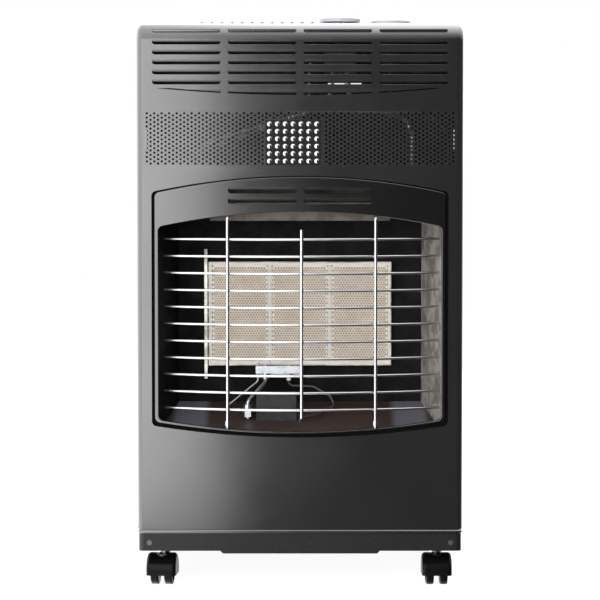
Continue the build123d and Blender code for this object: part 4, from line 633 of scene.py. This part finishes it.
def makeSky():
    world = bpy.data.worlds.new("studioSky")
    bpy.context.scene.world = world
    world.use_nodes = True
    tree = world.node_tree
    tree.nodes.clear()
    out = addNode(tree, "ShaderNodeOutputWorld")
    place = addNode(tree, "ShaderNodeTexCoord")
    axes = addNode(tree, "ShaderNodeSeparateXYZ")
    toLeft = addNode(tree, "ShaderNodeMapRange", {
        "From Min": skySetup["leftEdge"][0], "From Max": skySetup["leftEdge"][1],
        "To Min": 0.0, "To Max": skySetup["left"]},
        interpolation_type="SMOOTHSTEP")
    toBack = addNode(tree, "ShaderNodeMapRange", {
        "From Min": skySetup["backEdge"][0], "From Max": skySetup["backEdge"][1],
        "To Min": skySetup["dark"], "To Max": skySetup["back"]},
        interpolation_type="SMOOTHSTEP")
    join(tree, place.outputs["Generated"], axes.inputs["Vector"])
    join(tree, axes.outputs["X"], toLeft.inputs["Value"])
    join(tree, axes.outputs["Y"], toBack.inputs["Value"])
    around = addNode(tree, "ShaderNodeMath", operation="MAXIMUM")
    join(tree, toLeft.outputs["Result"], around.inputs[0])
    join(tree, toBack.outputs["Result"], around.inputs[1])

    # the ceiling is brightest a little behind the object
    lean = addNode(tree, "ShaderNodeVectorMath", {1: skySetup["pole"]}, operation="DOT_PRODUCT")
    upward = addNode(tree, "ShaderNodeMath", {1: 0.0}, operation="MAXIMUM")
    curve = addNode(tree, "ShaderNodeMath", {1: skySetup["fall"]}, operation="POWER")
    toCeiling = addNode(tree, "ShaderNodeMath", {1: skySetup["ceiling"]}, operation="MULTIPLY")
    room = addNode(tree, "ShaderNodeMath", operation="MAXIMUM")
    join(tree, place.outputs["Generated"], lean.inputs[0])
    join(tree, lean.outputs["Value"], upward.inputs[0])
    join(tree, upward.outputs["Value"], curve.inputs[0])
    join(tree, curve.outputs["Value"], toCeiling.inputs[0])
    join(tree, around.outputs["Value"], room.inputs[0])
    join(tree, toCeiling.outputs["Value"], room.inputs[1])

    # the pale left side goes on above and below its softbox
    offset = addNode(tree, "ShaderNodeMath", {1: skySetup["middle"]}, operation="SUBTRACT")
    away = addNode(tree, "ShaderNodeMath", operation="ABSOLUTE")
    beyond = addNode(tree, "ShaderNodeMapRange", {
        "From Min": skySetup["band"][0], "From Max": skySetup["band"][1]}, interpolation_type="SMOOTHSTEP")
    beside = addNode(tree, "ShaderNodeMapRange", {
        "From Min": skySetup["edge"][0], "From Max": skySetup["edge"][1]}, interpolation_type="SMOOTHSTEP")
    paleSide = addNode(tree, "ShaderNodeMath", operation="MULTIPLY")
    gloss = addNode(tree, "ShaderNodeMix", data_type="FLOAT")
    gloss.inputs[3].default_value = skySetup["beside"]
    join(tree, axes.outputs["Z"], offset.inputs[0])
    join(tree, offset.outputs["Value"], away.inputs[0])
    join(tree, away.outputs["Value"], beyond.inputs["Value"])
    join(tree, axes.outputs["X"], beside.inputs["Value"])
    join(tree, beyond.outputs["Result"], paleSide.inputs[0])
    join(tree, beside.outputs["Result"], paleSide.inputs[1])
    join(tree, paleSide.outputs["Value"], gloss.inputs["Factor"])
    join(tree, room.outputs["Value"], gloss.inputs[2])

    rays = addNode(tree, "ShaderNodeLightPath")
    shiny = addNode(tree, "ShaderNodeMath", operation="MAXIMUM")
    join(tree, rays.outputs["Is Glossy Ray"], shiny.inputs[0])
    join(tree, rays.outputs["Is Transmission Ray"], shiny.inputs[1])
    dim = addNode(tree, "ShaderNodeMix", data_type="FLOAT")
    dim.inputs[2].default_value = skySetup["ambient"]
    join(tree, shiny.outputs["Value"], dim.inputs["Factor"])
    join(tree, gloss.outputs[0], dim.inputs[3])
    full = addNode(tree, "ShaderNodeMix", data_type="FLOAT")
    full.inputs[3].default_value = 1.0
    join(tree, rays.outputs["Is Camera Ray"], full.inputs["Factor"])
    join(tree, dim.outputs[0], full.inputs[2])
    light = addNode(tree, "ShaderNodeBackground", {"Color": (1, 1, 1, 1)})
    join(tree, full.outputs[0], light.inputs["Strength"])
    join(tree, light.outputs["Background"], out.inputs["Surface"])


makeSky()

lamps = {
    "leftSoftbox": {"place": (-1.325, -4.1, 0.95), "aim": (-1.325, 0.0, 0.95), "size": (2.15, 2.9),
                    "power": 100.0},
    "topSoftbox": {"place": (0.0, 0.35, 2.2), "aim": (0.0, 0.35, 0.0), "size": (2.6, 1.1), "power": 24.0,
                   "glossy": False},
    "frontFill": {"place": (0.3, -3.0, 1.1), "aim": (0.0, 0.0, 0.4), "size": (1.2, 1.2), "power": 30.0,
                  "glossy": False},
    "rightFill": {"place": (2.6, -1.6, 0.9), "aim": (0.0, 0.0, 0.4), "size": (0.8, 1.6), "power": 0.6},
    "rearFill": {"place": (0.6, 3.0, 1.4), "aim": (0.0, 0.0, 0.4), "size": (1.8, 1.8), "power": 25.0},
}
for name, lamp in lamps.items():
    light = bpy.data.lights.new(name, "AREA")
    light.shape = "RECTANGLE"
    light.size, light.size_y = lamp["size"]
    light.energy = lamp["power"]
    obj = bpy.data.objects.new(name, light)
    obj.location = lamp["place"]
    obj.visible_glossy = lamp.get("glossy", True)
    obj.rotation_euler = (Vector(lamp["aim"]) - obj.location).to_track_quat("-Z", "Y").to_euler()
    bpy.context.scene.collection.objects.link(obj)
print("stage and lamps set")
